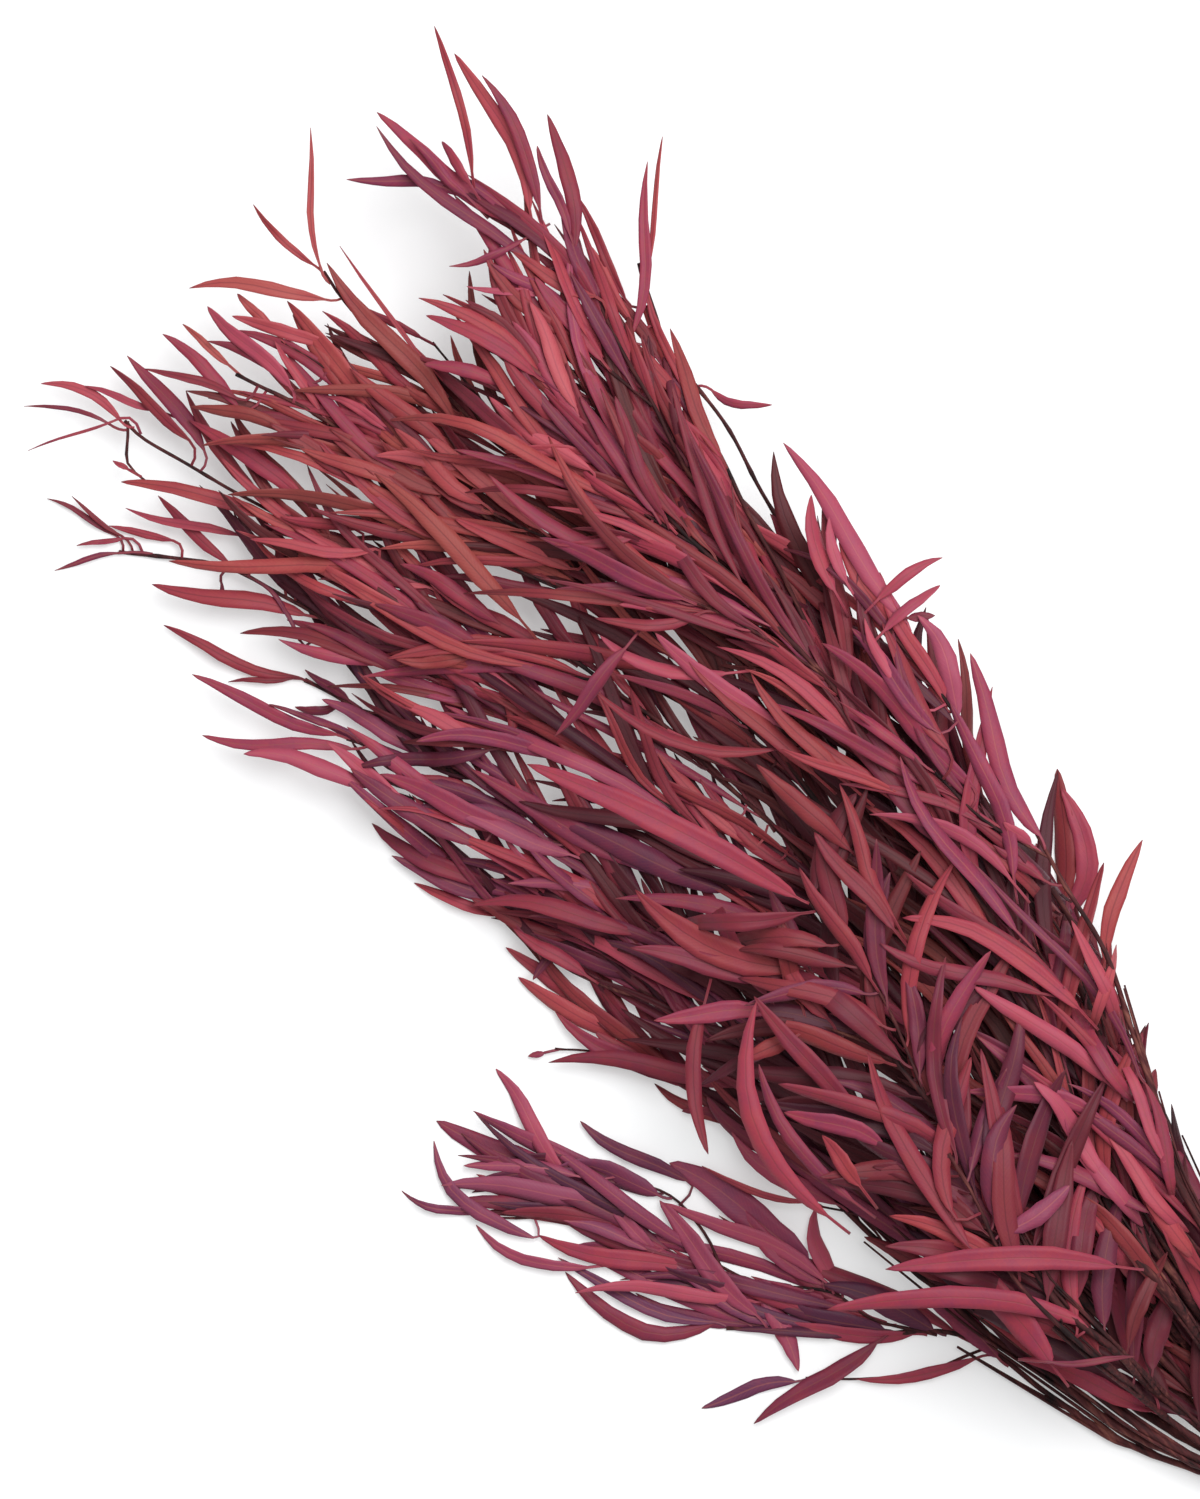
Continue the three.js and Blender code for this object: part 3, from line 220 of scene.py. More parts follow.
        (240+425j, 205+470j, 8, 0), (232+432j, 212+478j, 8, 0), (236+411j, 196+440j, 8, 2),
        (262+392j, 232+440j, 8, 0), (285+352j, 238+352j, 6, 4), (290+330j, 240+345j, 7, 6),
        (310+300j, 236+325j, 7, 10), (250+340j, 222+305j, 8, 0), (310+310j, 262+346j, 9, 2),
        (325+290j, 275+335j, 9, 0), (340+285j, 300+330j, 8, 2), (464+78j, 430+123j, 9, -2),
    ],
), dict(
    name="right", rank=14, column=3, row=3, warmth=0.5,
    path=[446+205j, 418+258j, 388+302j, 367+333j, 354+349j],
    twigs=[[418+258j, 392+272j, 372+292j]],
    leaves=[
        (362+350j, 313+422j, 10, 0), (333+363j, 324+401j, 9, 3), (338+366j, 331+392j, 6, 2),
        (350+359j, 376+376j, 6, 2), (353+347j, 375+365j, 6, 1), (362+352j, 373+353j, 5, 0),
        (384+308j, 366+353j, 10, -4), (404+250j, 379+318j, 9, -4), (419+262j, 387+338j, 10, 4),
        (388+285j, 328+342j, 9, -2), (378+300j, 352+350j, 9, 2), (372+308j, 340+348j, 8, 0),
        (364+318j, 345+352j, 6, 2), (418+262j, 400+271j, 6, 0), (416+248j, 396+262j, 6, 0),
        (357+283j, 312+300j, 6, 0), (403+248j, 347+274j, 7, -8), (405+228j, 359+297j, 8, 4),
        (427+200j, 361+251j, 8, -2), (430+197j, 360+233j, 9, -8), (415+203j, 351+223j, 8, 2),
        (441+168j, 388+206j, 9, -2), (438+154j, 385+164j, 9, -4), (458+116j, 399+139j, 8, -4),
        (481+91j, 450+137j, 9, 2),
    ],
), dict(
    name="foreground_middle", rank=5, column=1, row=3, warmth=0.52, fill=(44, 70),
    path=[385+140j, 353+182j, 322+212j],
    twigs=[[372+158j, 350+205j, 322+240j], [353+182j, 328+190j, 304+199j]],
    leaves=[
        (317+211j, 252+221j, 9, 2), (319+213j, 254+244j, 12, 8), (318+241j, 211+294j, 11, -3),
        (339+260j, 302+294j, 8, 0), (357+232j, 335+286j, 6, 2), (356+229j, 325+267j, 7, 0),
        (351+209j, 319+253j, 7, 0), (344+151j, 301+202j, 8, 0), (340+121j, 303+175j, 6, 6),
        (330+115j, 302+200j, 9, 16), (318+186j, 297+177j, 7, 0), (352+143j, 313+156j, 8, -2),
        (281+197j, 283+139j, 6.5, -5), (343+127j, 328+147j, 7, 0), (370+168j, 361+213j, 7, -2),
        (373+168j, 395+220j, 8, 5),
    ],
), dict(
    name="foreground_low", rank=4, column=0, row=3, warmth=0.42,
    path=[392+114j, 378+140j],
    twigs=[],
    leaves=[
        (466+33j, 408+55j, 8, -2), (418+57j, 452+59j, 3, -1), (379+117j, 387+178j, 8, 6),
        (386+103j, 346+180j, 8, 4), (397+112j, 405+159j, 10, 5), (397+108j, 426+127j, 8, -2),
        (419+56j, 382+104j, 12, 0), (432+72j, 330+78j, 9, -8), (444+95j, 353+94j, 10, -4),
    ],
)]

# Small places where the surface shows through or beside the leaves, with their radii
OPENINGS = [
    (176+424j, 7), (197+392j, 7), (226+404j, 6), (212+352j, 9), (229+358j, 5), (302+272j, 9), (290+284j, 8),
    (275+284j, 6), (322+316j, 6), (300+378j, 8), (314+356j, 6), (266+420j, 5), (186+350j, 5),
    (336+104j, 11), (318+118j, 7), (352+88j, 5), (376+71j, 5), (255+198j, 5), (290+415j, 5), (240+312j, 4),
    (168+462j, 5), (183+448j, 6), (272+490j, 9), (402+345j, 8), (300+462j, 10), (226+192j, 8),
    (424+308j, 6),
]


@dataclass
class Station:
    """One cross-section of a stem, twig or leaf: its middle, half width, how much higher its left
    edge lies than its middle, and how far the section reaches below and above."""

    at: complex
    z: float
    out: float = 0.0
    lift: float = 0.0
    below: float = 0.0
    above: float = 0.0
    along: float = 0.0
    most: float = 0.0


def mix(a, b, part):
    return a + (b - a) * part


def heading(degrees):
    return cmath.rect(1, math.radians(degrees))


def way_from(a, b):
    return (b - a) / (abs(b - a) or 1)


def between(a, b, part):
    return Station(
        mix(a.at, b.at, part), mix(a.z, b.z, part), mix(a.out, b.out, part), mix(a.lift, b.lift, part),
        mix(a.below, b.below, part), mix(a.above, b.above, part),
    )


MM = 0.001


def in_row(at, z):
    """A plan point in the row frame, in metres."""
    here = (at - BUNCH_CENTRE) / heading(BUNCH_HEADING)
    return Vector((here.real, here.imag, z)) * MM


# How closely pieces lie on each other: the gaps between them, the first lengths of a twig or leaf
# that are free to touch its own stem, and the cells and samples that heights are measured with
GAP = 0.9
OWN_GAP = 0.4
STEM_GAP = 0.36
SIDE_GAP = 0.2
FREE_START = 5
FIRST_SHARE = 0.4
FREE_STALK = 8
OWN_RISE = 0.3
STEM_REACH = 6
TWIG_REACH = 1
LEAF_REACH = 1
SAMPLE = 1.6
SETTLE_PASSES = 6
CELL = 1.6
FIELD_CORNER = -20 - 110j
FIELD_COLUMNS = 400
FIELD_ROWS = 462
ACROSS = (-1, -0.5, 0, 0.5, 1)


class HeightField:
    """Square cells, each with the height of the highest thing in it."""

    def __init__(self):
        self.heights = np.full((FIELD_ROWS, FIELD_COLUMNS), -GAP)

    def cell(self, at):
        here = (at - FIELD_CORNER) / CELL
        return math.floor(here.imag), math.floor(here.real)

    def top(self, at, reach):
        row, column = self.cell(at)
        return self.heights[row - reach:row + reach + 1, column - reach:column + reach + 1].max()

    def cover(self, at, z):
        cell = self.cell(at)
        self.heights[cell] = max(self.heights[cell], z)

    def take(self, other):
        np.maximum(self.heights, other.heights, out=self.heights)


def samples_between(a, b):
    count = max(2, math.ceil(abs(b.at - a.at) / SAMPLE))
    return [(k / count, between(a, b, k / count)) for k in range(count + 1)]


def height_over(field, sample, side, reach, gap):
    needed = field.top(sample.at, reach) + gap + sample.below
    for edge in (-1, 1):
        beside = sample.at + side * edge * sample.out
        needed = max(needed, field.top(beside, reach) + gap - edge * sample.lift)
    return needed


def cover_field(field, stations):
    for a, b in zip(stations, stations[1:]):
        side = way_from(a.at, b.at) * 1j
        for _, sample in samples_between(a, b):
            for across in ACROSS:
                beside = sample.at + side * across * sample.out
                field.cover(beside, sample.z + across * sample.lift + sample.above)


def settle(stations, held, needed):
    """Raises the stations after the held ones, by as little as clears what lies beneath each
    stretch, and never above the highest thing that the stretches beside a station must clear."""
    limits = []
    for station in stations:
        station.most = station.z
    for i in range(held, len(stations)):
        a, b = stations[i - 1], stations[i]
        side = way_from(a.at, b.at) * 1j
        for part, sample in samples_between(a, b):
            height = needed(sample, side)
            if i > held:
                limits.append((a, b, part, height))
                a.most = max(a.most, height)
                b.most = max(b.most, height)
            elif part * abs(b.at - a.at) > FREE_START:
                b.z = max(b.z, a.z + (height - a.z) / max(part, FIRST_SHARE))
        b.most = max(b.most, b.z)
    for _ in range(SETTLE_PASSES):
        for a, b, part, height in limits:
            lack = max(0, height - mix(a.z, b.z, part))
            share = lack / ((1 - part) ** 2 + part ** 2)
            a.z = min(a.most, a.z + share * (1 - part))
            b.z = min(b.most, b.z + share * part)
    for a, b, part, height in limits:
        if height > mix(a.z, b.z, part):
            a.z = a.most
            b.z = b.most


# Seeded draws, even between low and high
DRAW_FACTOR = 16807
DRAW_MODULUS = 2147483647
SEED = 2311
SEED_STEP = 131


def draws_from(seed):
    state = seed

    def draw(low, high):
        nonlocal state
        state = state * DRAW_FACTOR % DRAW_MODULUS
        return mix(low, high, state / DRAW_MODULUS)

    return draw


def nearest_on(stations, point):
    best = (math.inf, 0, 0)
    for a, b in zip(stations, stations[1:]):
        length = abs(b.at - a.at)
        along = ((point - a.at) * way_from(a.at, b.at).conjugate()).real
        part = min(1, max(0, along / length))
        distance = abs(point - mix(a.at, b.at, part))
        if distance < best[0]:
            best = (distance, mix(a.z, b.z, part), mix(a.out, b.out, part))
    return best


# A stem's flat sides lie above and below it, and the first row lies on the tie's underside
FLAT_HALF = math.cos(math.pi / STEM_SIDES)
FIRST_ROW_HEIGHT = BAND_THICKNESS + BAND_GAP + STEM_BASE_RADIUS * FLAT_HALF


def stem_stations(stem):
    """The straight neck and the fan by rule, and then the stem's own path."""
    way = heading(NECK_HEADING)
    side = way * -1j
    in_column = (stem["column"] - (COLUMNS - 1) / 2) * COLUMN_PITCH
    in_fan = stem["rank"] - (len(STEMS) - 1) / 2
    plan = [TIE + way * CUT_END + side * in_column, TIE + way * NECK_END + side * in_column]
    for fan in (FAN_START, FAN_MIDDLE, FAN_END):
        plan.append(TIE + way * fan["along"] + side * in_fan * fan["pitch"])
    plan += stem["path"]
    lengths = [0, 0] + [abs(b - a) for a, b in zip(plan[1:], plan[2:])]
    fan_height = FIRST_ROW_HEIGHT + stem["row"] * FAN_START["row_pitch"]
    stations = []
    along = 0
    for i, point in enumerate(plan):
        along += lengths[i]
        radius = mix(STEM_BASE_RADIUS, STEM_TIP_RADIUS, along / sum(lengths))
        half = radius * FLAT_HALF
        z = fan_height
        if i < NECK_STATIONS:
            z = FIRST_ROW_HEIGHT + stem["row"] * ROW_PITCH
        elif i >= HELD_STATIONS:
            z = max(half, fan_height * (1 - (along - lengths[2]) / FAN_FALL))
        stations.append(Station(point, z, radius, 0, half, half, along))
    return stations


def settle_stem(stations, leaves_laid, stems_laid):
    """Lays a stem on everything beneath it, and levels it to slopes that a woody stem can follow."""

    def needed(sample, side):
        height = height_over(leaves_laid, sample, side, STEM_REACH, GAP)
        for other in stems_laid:
            distance, z, radius = nearest_on(other, sample.at)
            radii = radius + sample.out
            if distance < radii + SIDE_GAP:
                height = max(height, z + radii * FLAT_HALF + STEM_GAP)
        return height

    settle(stations, HELD_STATIONS, needed)
    free = stations[HELD_STATIONS:]
    for way in (free[::-1], free):
        for a, b in zip(way, way[1:]):
            b.z = max(b.z, a.z - STEM_SLOPE * abs(b.at - a.at))


# Twigs and leaves grow from places a few millimetres apart, which keep clear of the ends of each
# stretch. Each place holds one.
PLACE_STEP = 4
PLACE_INSET = 0.4


@dataclass
class Place:
    at: complex
    z: float
    way: complex
    along: float
    taken: bool = False


def places_on(stations, start):
    places = []
    along = stations[0].along
    for a, b in zip(stations, stations[1:]):
        way = way_from(a.at, b.at)
        length = abs(b.at - a.at)
        count = max(1, math.floor(length / PLACE_STEP + 0.5))
        for k in range(1, count + 1):
            part = (k - PLACE_INSET) / count
            places.append(Place(a.at + way * length * part, mix(a.z, b.z, part), way, along + length * part))
        along += length
    return [place for place in places if place.along >= start]


def joint_for(places, root, tip):
    """The place near a root that a leaf or twig grows from, better behind it than ahead."""
    way = way_from(root, tip)

    def cost(place):
        out = way_from(place.at, root)
        return abs(place.at - root) * (2 - (out * way.conjugate()).real)

    best = min((place for place in places if not place.taken), key=cost)
    best.taken = True
    return best


def clearing(laid, own, reach, root):
    """What a twig or leaf must clear: all earlier stems, and its own where a gentle rise allows."""

    def needed(sample, side):
        others = height_over(laid, sample, side, reach, GAP)
        own_height = own.top(sample.at, 0) + OWN_GAP + sample.below
        gentle = root.z + OWN_RISE * max(0, abs(sample.at - root.at) - FREE_STALK)
        return max(others, min(own_height, gentle))

    return needed


# Side twigs, which taper and start with a short stalk that can rise steeply
TWIG_RADIUS = 0.95
TWIG_TIP_RADIUS = 0.65
STALK_LENGTH = 6


def twig_stations(path, places, laid, own):
    place = joint_for(places, *path[:2])
    twig = []
    for i, point in enumerate(path):
        radius = mix(TWIG_RADIUS, TWIG_TIP_RADIUS, i / (len(path) - 1))
        twig.append(Station(point, place.z, radius, 0, radius, radius))
    twig[0].at = place.at
    if abs(twig[1].at - twig[0].at) >= STALK_LENGTH * 2:
        stalk_end = twig[0].at + way_from(twig[0].at, twig[1].at) * STALK_LENGTH
        twig.insert(1, replace(twig[0], at=stalk_end))
    settle(twig, 1, clearing(laid, own, TWIG_REACH, twig[0]))
    return twig


# Leaves: where the blade is widest, its keel and stalk, and how it rises, falls, rolls and twists
WIDEST_AT = 0.42
KEEL = 0.8
STALK_WIDTH = 1.3
STALK_DEPTH = 0.6
RISE = (0.03, 0.2)
FALL = (0.06, 0.2)
ROLL = 0.35
TWIST = 0.45


@dataclass
class Leaf:
    """A leaf in plan, with its width, bow, roll and twist, and the stations that carry it."""

    root: complex
    tip: complex
    width: float
    bow: float
    roll: float
    twist: float
    stations: list
    placed: bool = True

    def middle(self, at):
        return on_middle(self.root, self.tip, self.bow, at)


def on_middle(root, tip, bow, at):
    return root + (tip - root) * at + way_from(root, tip) * 1j * 4 * bow * at * (1 - at)


def lay_leaf(numbers, placed, places, laid, own, draw):
    root, tip, width, bow = numbers
    start = joint_for(places, root, tip)
    if abs(start.at - root) < STALK_LENGTH:
        root = start.at + way_from(start.at, tip) * STALK_LENGTH
    length = abs(tip - root)
    rise, fall = draw(*RISE) * length, draw(*FALL) * length
    roll, twist = draw(-ROLL, ROLL), draw(-TWIST, TWIST)
    stations = [Station(start.at, start.z, STALK_WIDTH / 2, 0, STALK_DEPTH)]
    for at, half, keel in ((WIDEST_AT, width / 2, KEEL), (1, 0, 0)):
        angle = roll + twist * at
        middle = on_middle(root, tip, bow, at)
        z = start.z + rise * at - fall * at * at
        stations.append(Station(middle, z, half * math.cos(angle), half * math.sin(angle), keel))
    lifting = start.at + way_from(start.at, stations[1].at) * STALK_LENGTH
    stations.insert(1, replace(stations[0], at=lifting))
    settle(stations, 1, clearing(laid, own, LEAF_REACH, start))
    return Leaf(root, tip, width, bow, roll, twist, stations, placed)


# Leaves that grow by rule on alternate sides of a stem or twig
LEAF_SPREAD = (0.2, 0.62)
LEAF_LENGTH_RANGE = (0.78, 1.2)
LEAF_WIDTH_RANGE = (6.5, 10)
LEAF_STEP_RANGE = (0.75, 1.25)
LEAF_BOW = 0.09
LEAFLESS = 95
FILL_FROM = 215
TWIG_LEAFLESS = 14
OPENING_STEPS = 10
OPENING_OVERLAP = 0.25


def closes_opening(root, tip, width, bow, kept=1):
    line = [on_middle(root, tip, bow, k / OPENING_STEPS) for k in range(OPENING_STEPS + 1)]
    return any(
        abs(at - middle) < radius * kept + width * OPENING_OVERLAP
        for middle, radius in OPENINGS for at in line
    )


def leaves_by_rule(places, start, fill, draw):
    step, usual_length = fill
    leaves = []
    end = places[-1].along - usual_length
    side = 1
    along = start + step * draw(0, 1)
    while along < end:
        place = next(place for place in places if place.along >= along)
        side = -side
        way = place.way * cmath.rect(1, side * draw(*LEAF_SPREAD))
        length = usual_length * draw(*LEAF_LENGTH_RANGE)
        root = place.at + way * STALK_LENGTH
        tip = root + way * length
        bow = -side * length * draw(0, LEAF_BOW)
        width = draw(*LEAF_WIDTH_RANGE)
        if not closes_opening(root, tip, width, bow):
            leaves.append((root, tip, width, bow))
        along += step * draw(*LEAF_STEP_RANGE)
    return leaves


@dataclass
class GrownStem:
    name: str
    warmth: float
    stations: list
    twigs: list
    leaves: list


def grow_stem(stem, index, leaves_laid, all_laid, stems_laid):
    draw = draws_from(SEED + index * SEED_STEP)
    stations = stem_stations(stem)
    settle_stem(stations, leaves_laid, stems_laid)
    own, leafy = HeightField(), HeightField()
    cover_field(own, stations)
    stem_places = places_on(stations, LEAFLESS)
    places = list(stem_places)
    axes = [(stem_places, FILL_FROM)]
    twigs = []
    for path in stem["twigs"]:
        twig = twig_stations(path, places, all_laid, own)
        for field in (own, leafy):
            cover_field(field, twig)
        twig_places = places_on(twig, 0)
        axes.append((twig_places, TWIG_LEAFLESS))
        places += twig_places
        twigs.append(twig)
    by_rule = []
    if "fill" in stem:
        by_rule = [leaf for axis in axes for leaf in leaves_by_rule(*axis, stem["fill"], draw)]
    leaves = []
    for k, numbers in enumerate(by_rule + stem["leaves"]):
        leaf = lay_leaf(numbers, k >= len(by_rule), places, all_laid, own, draw)
        for field in (own, leafy):
            cover_field(field, leaf.stations)
        leaves.append(leaf)
    leaves_laid.take(leafy)
    all_laid.take(own)
    stems_laid.append(stations)
    return GrownStem(f"leafy_stem_{stem['name']}", stem["warmth"], stations, twigs, leaves)


leaves_laid, all_laid, stems_laid = HeightField(), HeightField(), []
grown = [grow_stem(stem, i, leaves_laid, all_laid, stems_laid) for i, stem in enumerate(STEMS)]


# The wood: every main stem with its side twigs, and the thin plain shoots that run beside it where
# the leaves are stripped off. It is a thin dry stem with a slightly wrinkled bark that took up the
# dye, knobbly where leaves grew, and cut plainly at its lower end.
BARK_SIDES_LEVEL = 2
BARK_STEP = 5 * MM
KNUCKLE_EVERY = 19 * MM
KNUCKLE_SWELL = 0.3
KNUCKLE_SHARPNESS = 8
WANDER = 0.7 * MM
WANDER_FROM = 260 * MM
WANDER_WAVES = (23 * MM, 9.1 * MM)
STEM_THINNER = (0.8, 0.98)
TWIG_THINNER = 0.66
CUT_SHORTER = (0, 11)
LOWEST_BARK = 0.1 * MM
SHOOTS = 5
SHOOT_RADII = (0.85, 0.4)
SHOOT_FROM = (16, 130)
SHOOT_LENGTH = (70, 230)
SHOOT_TO = 0.6
SHOOT_ASIDE = (1.5, 5)
SHOOT_RISE = (-3, 4)
SHOOT_STEPS = 8
LOWEST_SHOOT = 1
PHASES = (0, 6)
JOINED = 0.001 * MM
WOOD_SEED = 7654321


def linear(code):
    """A hex colour as linear red, green and blue, with an alpha of 1."""
    parts = [int(code[i:i + 2], 16) / 255 for i in (1, 3, 5)]
    return [((c + 0.055) / 1.055) ** 2.4 if c > 0.04045 else c / 12.92 for c in parts] + [1]


def add_node(tree, kind, output, inputs=None, stops=(), **settings):
    """Adds a shader node with its own settings, and a colour ramp's stops. Each input takes a value
    or another node's output, and the node's own output is given back."""
    node = tree.nodes.new("ShaderNode" + kind)
    for name, value in settings.items():
        setattr(node, name, value)
    for socket, value in (inputs or {}).items():
        if isinstance(value, bpy.types.NodeSocket):
            tree.links.new(value, node.inputs[socket])
        else:
            node.inputs[socket].default_value = value
    for _ in stops[2:]:
        node.color_ramp.elements.new(0.5)
    for k, (position, code) in enumerate(stops):
        node.color_ramp.elements[k].position = position
        node.color_ramp.elements[k].color = linear(code)
    return node.outputs[output]


def new_material(name, roughness, specular):
    """A material with its roughness and specular level, and its node tree."""
    material = bpy.data.materials.new(name)
    material.use_nodes = True
    tree = material.node_tree
    shader = tree.nodes["Principled BSDF"]
    shader.inputs["Roughness"].default_value = roughness
    shader.inputs["Specular IOR Level"].default_value = specular
    return material, tree


def cover_with(tree, color, height, strength, depth):
    """Gives a material its colour, and dents of a depth in millimetres."""
    dents = {"Height": height, "Strength": strength, "Distance": depth * MM}
    inputs = tree.nodes["Principled BSDF"].inputs
    tree.links.new(color, inputs["Base Color"])
    tree.links.new(add_node(tree, "Bump", "Normal", dents), inputs["Normal"])


# Dyed dry bark: gives dark stems with reddish and tan streaks along them and a dull, wrinkled skin
bark, tree = new_material("dyed_dry_bark", 0.78, 0.25)
place = add_node(tree, "TexCoord", "Object")
grain = add_node(tree, "Mapping", "Vector", {"Vector": place, "Scale": (0.15, 1, 1)})
streaks = add_node(
    tree, "TexNoise", "Fac", {"Vector": grain, "Scale": 1 / (1.8 * MM), "Detail": 3, "Roughness": 0.6},
)
patches = add_node(tree, "TexNoise", "Fac", {"Vector": place, "Scale": 1 / (25 * MM), "Detail": 2})
blend = add_node(tree, "Mix", "Result", {"A": streaks, "B": patches, "Factor": 0.5})
dyes = [(0.4, "#1A0A0C"), (0.56, "#4A1E20"), (0.76, "#845044")]
cover_with(tree, add_node(tree, "ValToRGB", "Color", {"Fac": blend}, dyes), streaks, 0.5, 0.3)

# Cut wood: gives the stems' lower ends a pale, dry, porous face
cut_wood, tree = new_material("cut_dry_wood", 0.85, 0.2)
place = add_node(tree, "TexCoord", "Object")
pores = add_node(tree, "TexNoise", "Fac", {"Vector": place, "Scale": 1 / (0.5 * MM), "Detail": 3})
woods = [(0.3, "#7A4E3E"), (0.5, "#B98F6C"), (0.7, "#D3B38C")]
cover_with(tree, add_node(tree, "ValToRGB", "Color", {"Fac": pores}, woods), pores, 0.5, 0.2)


def smoothed(points, step):
    """Points on a smooth line through the given ones, at most a step apart."""
    ends = [points[0] * 2 - points[1], *points, points[-1] * 2 - points[-2]]
    line = []
    for a, b, c, d in zip(ends, ends[1:], ends[2:], ends[3:]):
        count = max(1, math.ceil((c - b).length / step))
        for k in range(count):
            t = k / count
            bend = (a * 2 - b * 5 + c * 4 - d) * t ** 2 + (b * 3 - c * 3 + d - a) * t ** 3
            line.append(b + ((c - a) * t + bend) / 2)
    return line + [points[-1]]


def new_strands(name, level):
    """A curve whose splines are round, and as thick as their points' radii in millimetres."""
    curve = bpy.data.curves.new(name, "CURVE")
    curve.dimensions = "3D"
    curve.bevel_depth = MM
    curve.bevel_resolution = level
    curve.use_fill_caps = True
    return curve


def add_strand(curve, line, radii, closed=False):
    spline = curve.splines.new("POLY")
    spline.points.add(len(line) - 1)
    for point, place, radius in zip(spline.points, line, radii):
        point.co = (*place, 1)
        point.radius = radius
    spline.use_cyclic_u = closed


def add_piece(bm, name, material):
    """A piece of its own from a bmesh, in one material."""
    mesh = bpy.data.meshes.new(name)
    bm.to_mesh(mesh)
    bm.free()
    mesh.materials.append(material)
    piece = bpy.data.objects.new(name, mesh)
    bpy.context.scene.collection.objects.link(piece)
    return piece


def meshed(curve, material):
    """The curve as a closed mesh piece, whose end caps are joined to its sides."""
    name = curve.name
    rough = bpy.data.objects.new(name, curve)
    bm = bmesh.new()
    bm.from_mesh(rough.to_mesh())
    rough.to_mesh_clear()
    bpy.data.objects.remove(rough)
    bpy.data.curves.remove(curve)
    bmesh.ops.remove_doubles(bm, verts=bm.verts, dist=JOINED)
    bmesh.ops.recalc_face_normals(bm, faces=bm.faces)
    for face in bm.faces:
        face.smooth = len(face.verts) == 4
    return add_piece(bm, name, material)


def add_bark(curve, stations, thinner, draw):
    """A stem or twig through its stations, which wanders a little and has a knuckle at each leaf."""
    line = smoothed([in_row(s.at, s.z) for s in stations], BARK_STEP)
    run = np.cumsum([0] + [(b - a).length for a, b in zip(line, line[1:])])
    phase = draw(*PHASES)
    radii = []
    for k, (point, along) in enumerate(zip(line, run)):
        part = along / run[-1] * (len(stations) - 1)
        before = stations[min(int(part), len(stations) - 2)]
        radius = mix(before.out, stations[min(int(part) + 1, len(stations) - 1)].out, part % 1)
        knuckle = max(0, math.cos(2 * math.pi * along / KNUCKLE_EVERY + phase)) ** KNUCKLE_SHARPNESS
        radii.append(radius * thinner * (1 + KNUCKLE_SWELL * knuckle))
        away = min(1, along / WANDER_FROM) * WANDER
        point.x += away * math.sin(along / WANDER_WAVES[0] + phase)
        point.y += away * math.sin(along / WANDER_WAVES[1] + phase * 2)
        point.z = max(point.z, radii[-1] * MM + LOWEST_BARK)
    add_strand(curve, line, radii)


def station_at(stations, along):
    for a, b in zip(stations, stations[1:]):
        if b.along > along:
            return between(a, b, (along - a.along) / (b.along - a.along)), way_from(a.at, b.at)
    return stations[-1], way_from(stations[-2].at, stations[-1].at)


def add_shoot(curve, stations, draw):
    """A plain side shoot that leaves the main stem beyond the tie and runs on beside it."""
    start, length = draw(*SHOOT_FROM), draw(*SHOOT_LENGTH)
    length = min(length, stations[-1].along * SHOOT_TO - start)
    aside = draw(*SHOOT_ASIDE) * (1 if draw(-1, 1) > 0 else -1)
    rise = draw(*SHOOT_RISE)
    points = []
    for k in range(SHOOT_STEPS + 1):
        part = k / SHOOT_STEPS
        here, way = station_at(stations, start + length * part)
        at = here.at + way * 1j * aside * math.sqrt(part)
        points.append(in_row(at, max(LOWEST_SHOOT, here.z + rise * part)))
    line = smoothed(points, BARK_STEP)
    add_strand(curve, line, np.linspace(*SHOOT_RADII, len(line)))


for index, stem in enumerate(grown):
    draw = draws_from((index + 1) * WOOD_SEED)
    curve = new_strands(f"{stem.name}_wood", BARK_SIDES_LEVEL)
    end, *others = stem.stations
    shorter = between(end, others[0], draw(*CUT_SHORTER) / abs(others[0].at - end.at))
    add_bark(curve, [shorter, *others], draw(*STEM_THINNER), draw)
    for twig in stem.twigs:
        add_bark(curve, twig, TWIG_THINNER, draw)
    for _ in range(SHOOTS):
        add_shoot(curve, stem.stations, draw)
    piece = meshed(curve, bark)
    piece.data.materials.append(cut_wood)
    cut_end = in_row(shorter.at, shorter.z)
    for face in piece.data.polygons:
        if not face.use_smooth and (face.center - cut_end).length < STEM_BASE_RADIUS * MM:
            face.material_index = 1
    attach(piece, "root")


# The leaves: narrow willow-shaped blades, dyed and dried soft and leathery, each on a thin stalk from
# its stem or twig. A blade is widest before its middle, sickle-shaped, folded a little along its
# midrib, rolled, twisted and wavy, and its tip is a fine point.
STALK_ROWS = (0, 0.3, 0.65)
BLADE_ROWS = (0, 0.03, 0.08, 0.16, 0.27, 0.4, 0.53, 0.66, 0.78, 0.88, 0.96, 1)
BLADE_COLUMNS = 4
BLADE_THICKNESS = 0.36
EDGE_THICKNESS = 0.14
STALK_THICKNESS = 0.9
STALK_HALF_WIDTH = 0.5
TIP_HALF_WIDTH = 0.12
EARLY = 0.82
FULLNESS = (0.5, 0.78)
EDGE_WAVE = 0.06
WIDTH_SHARE, BROAD_WIDTH_SHARE = 0.82, 1
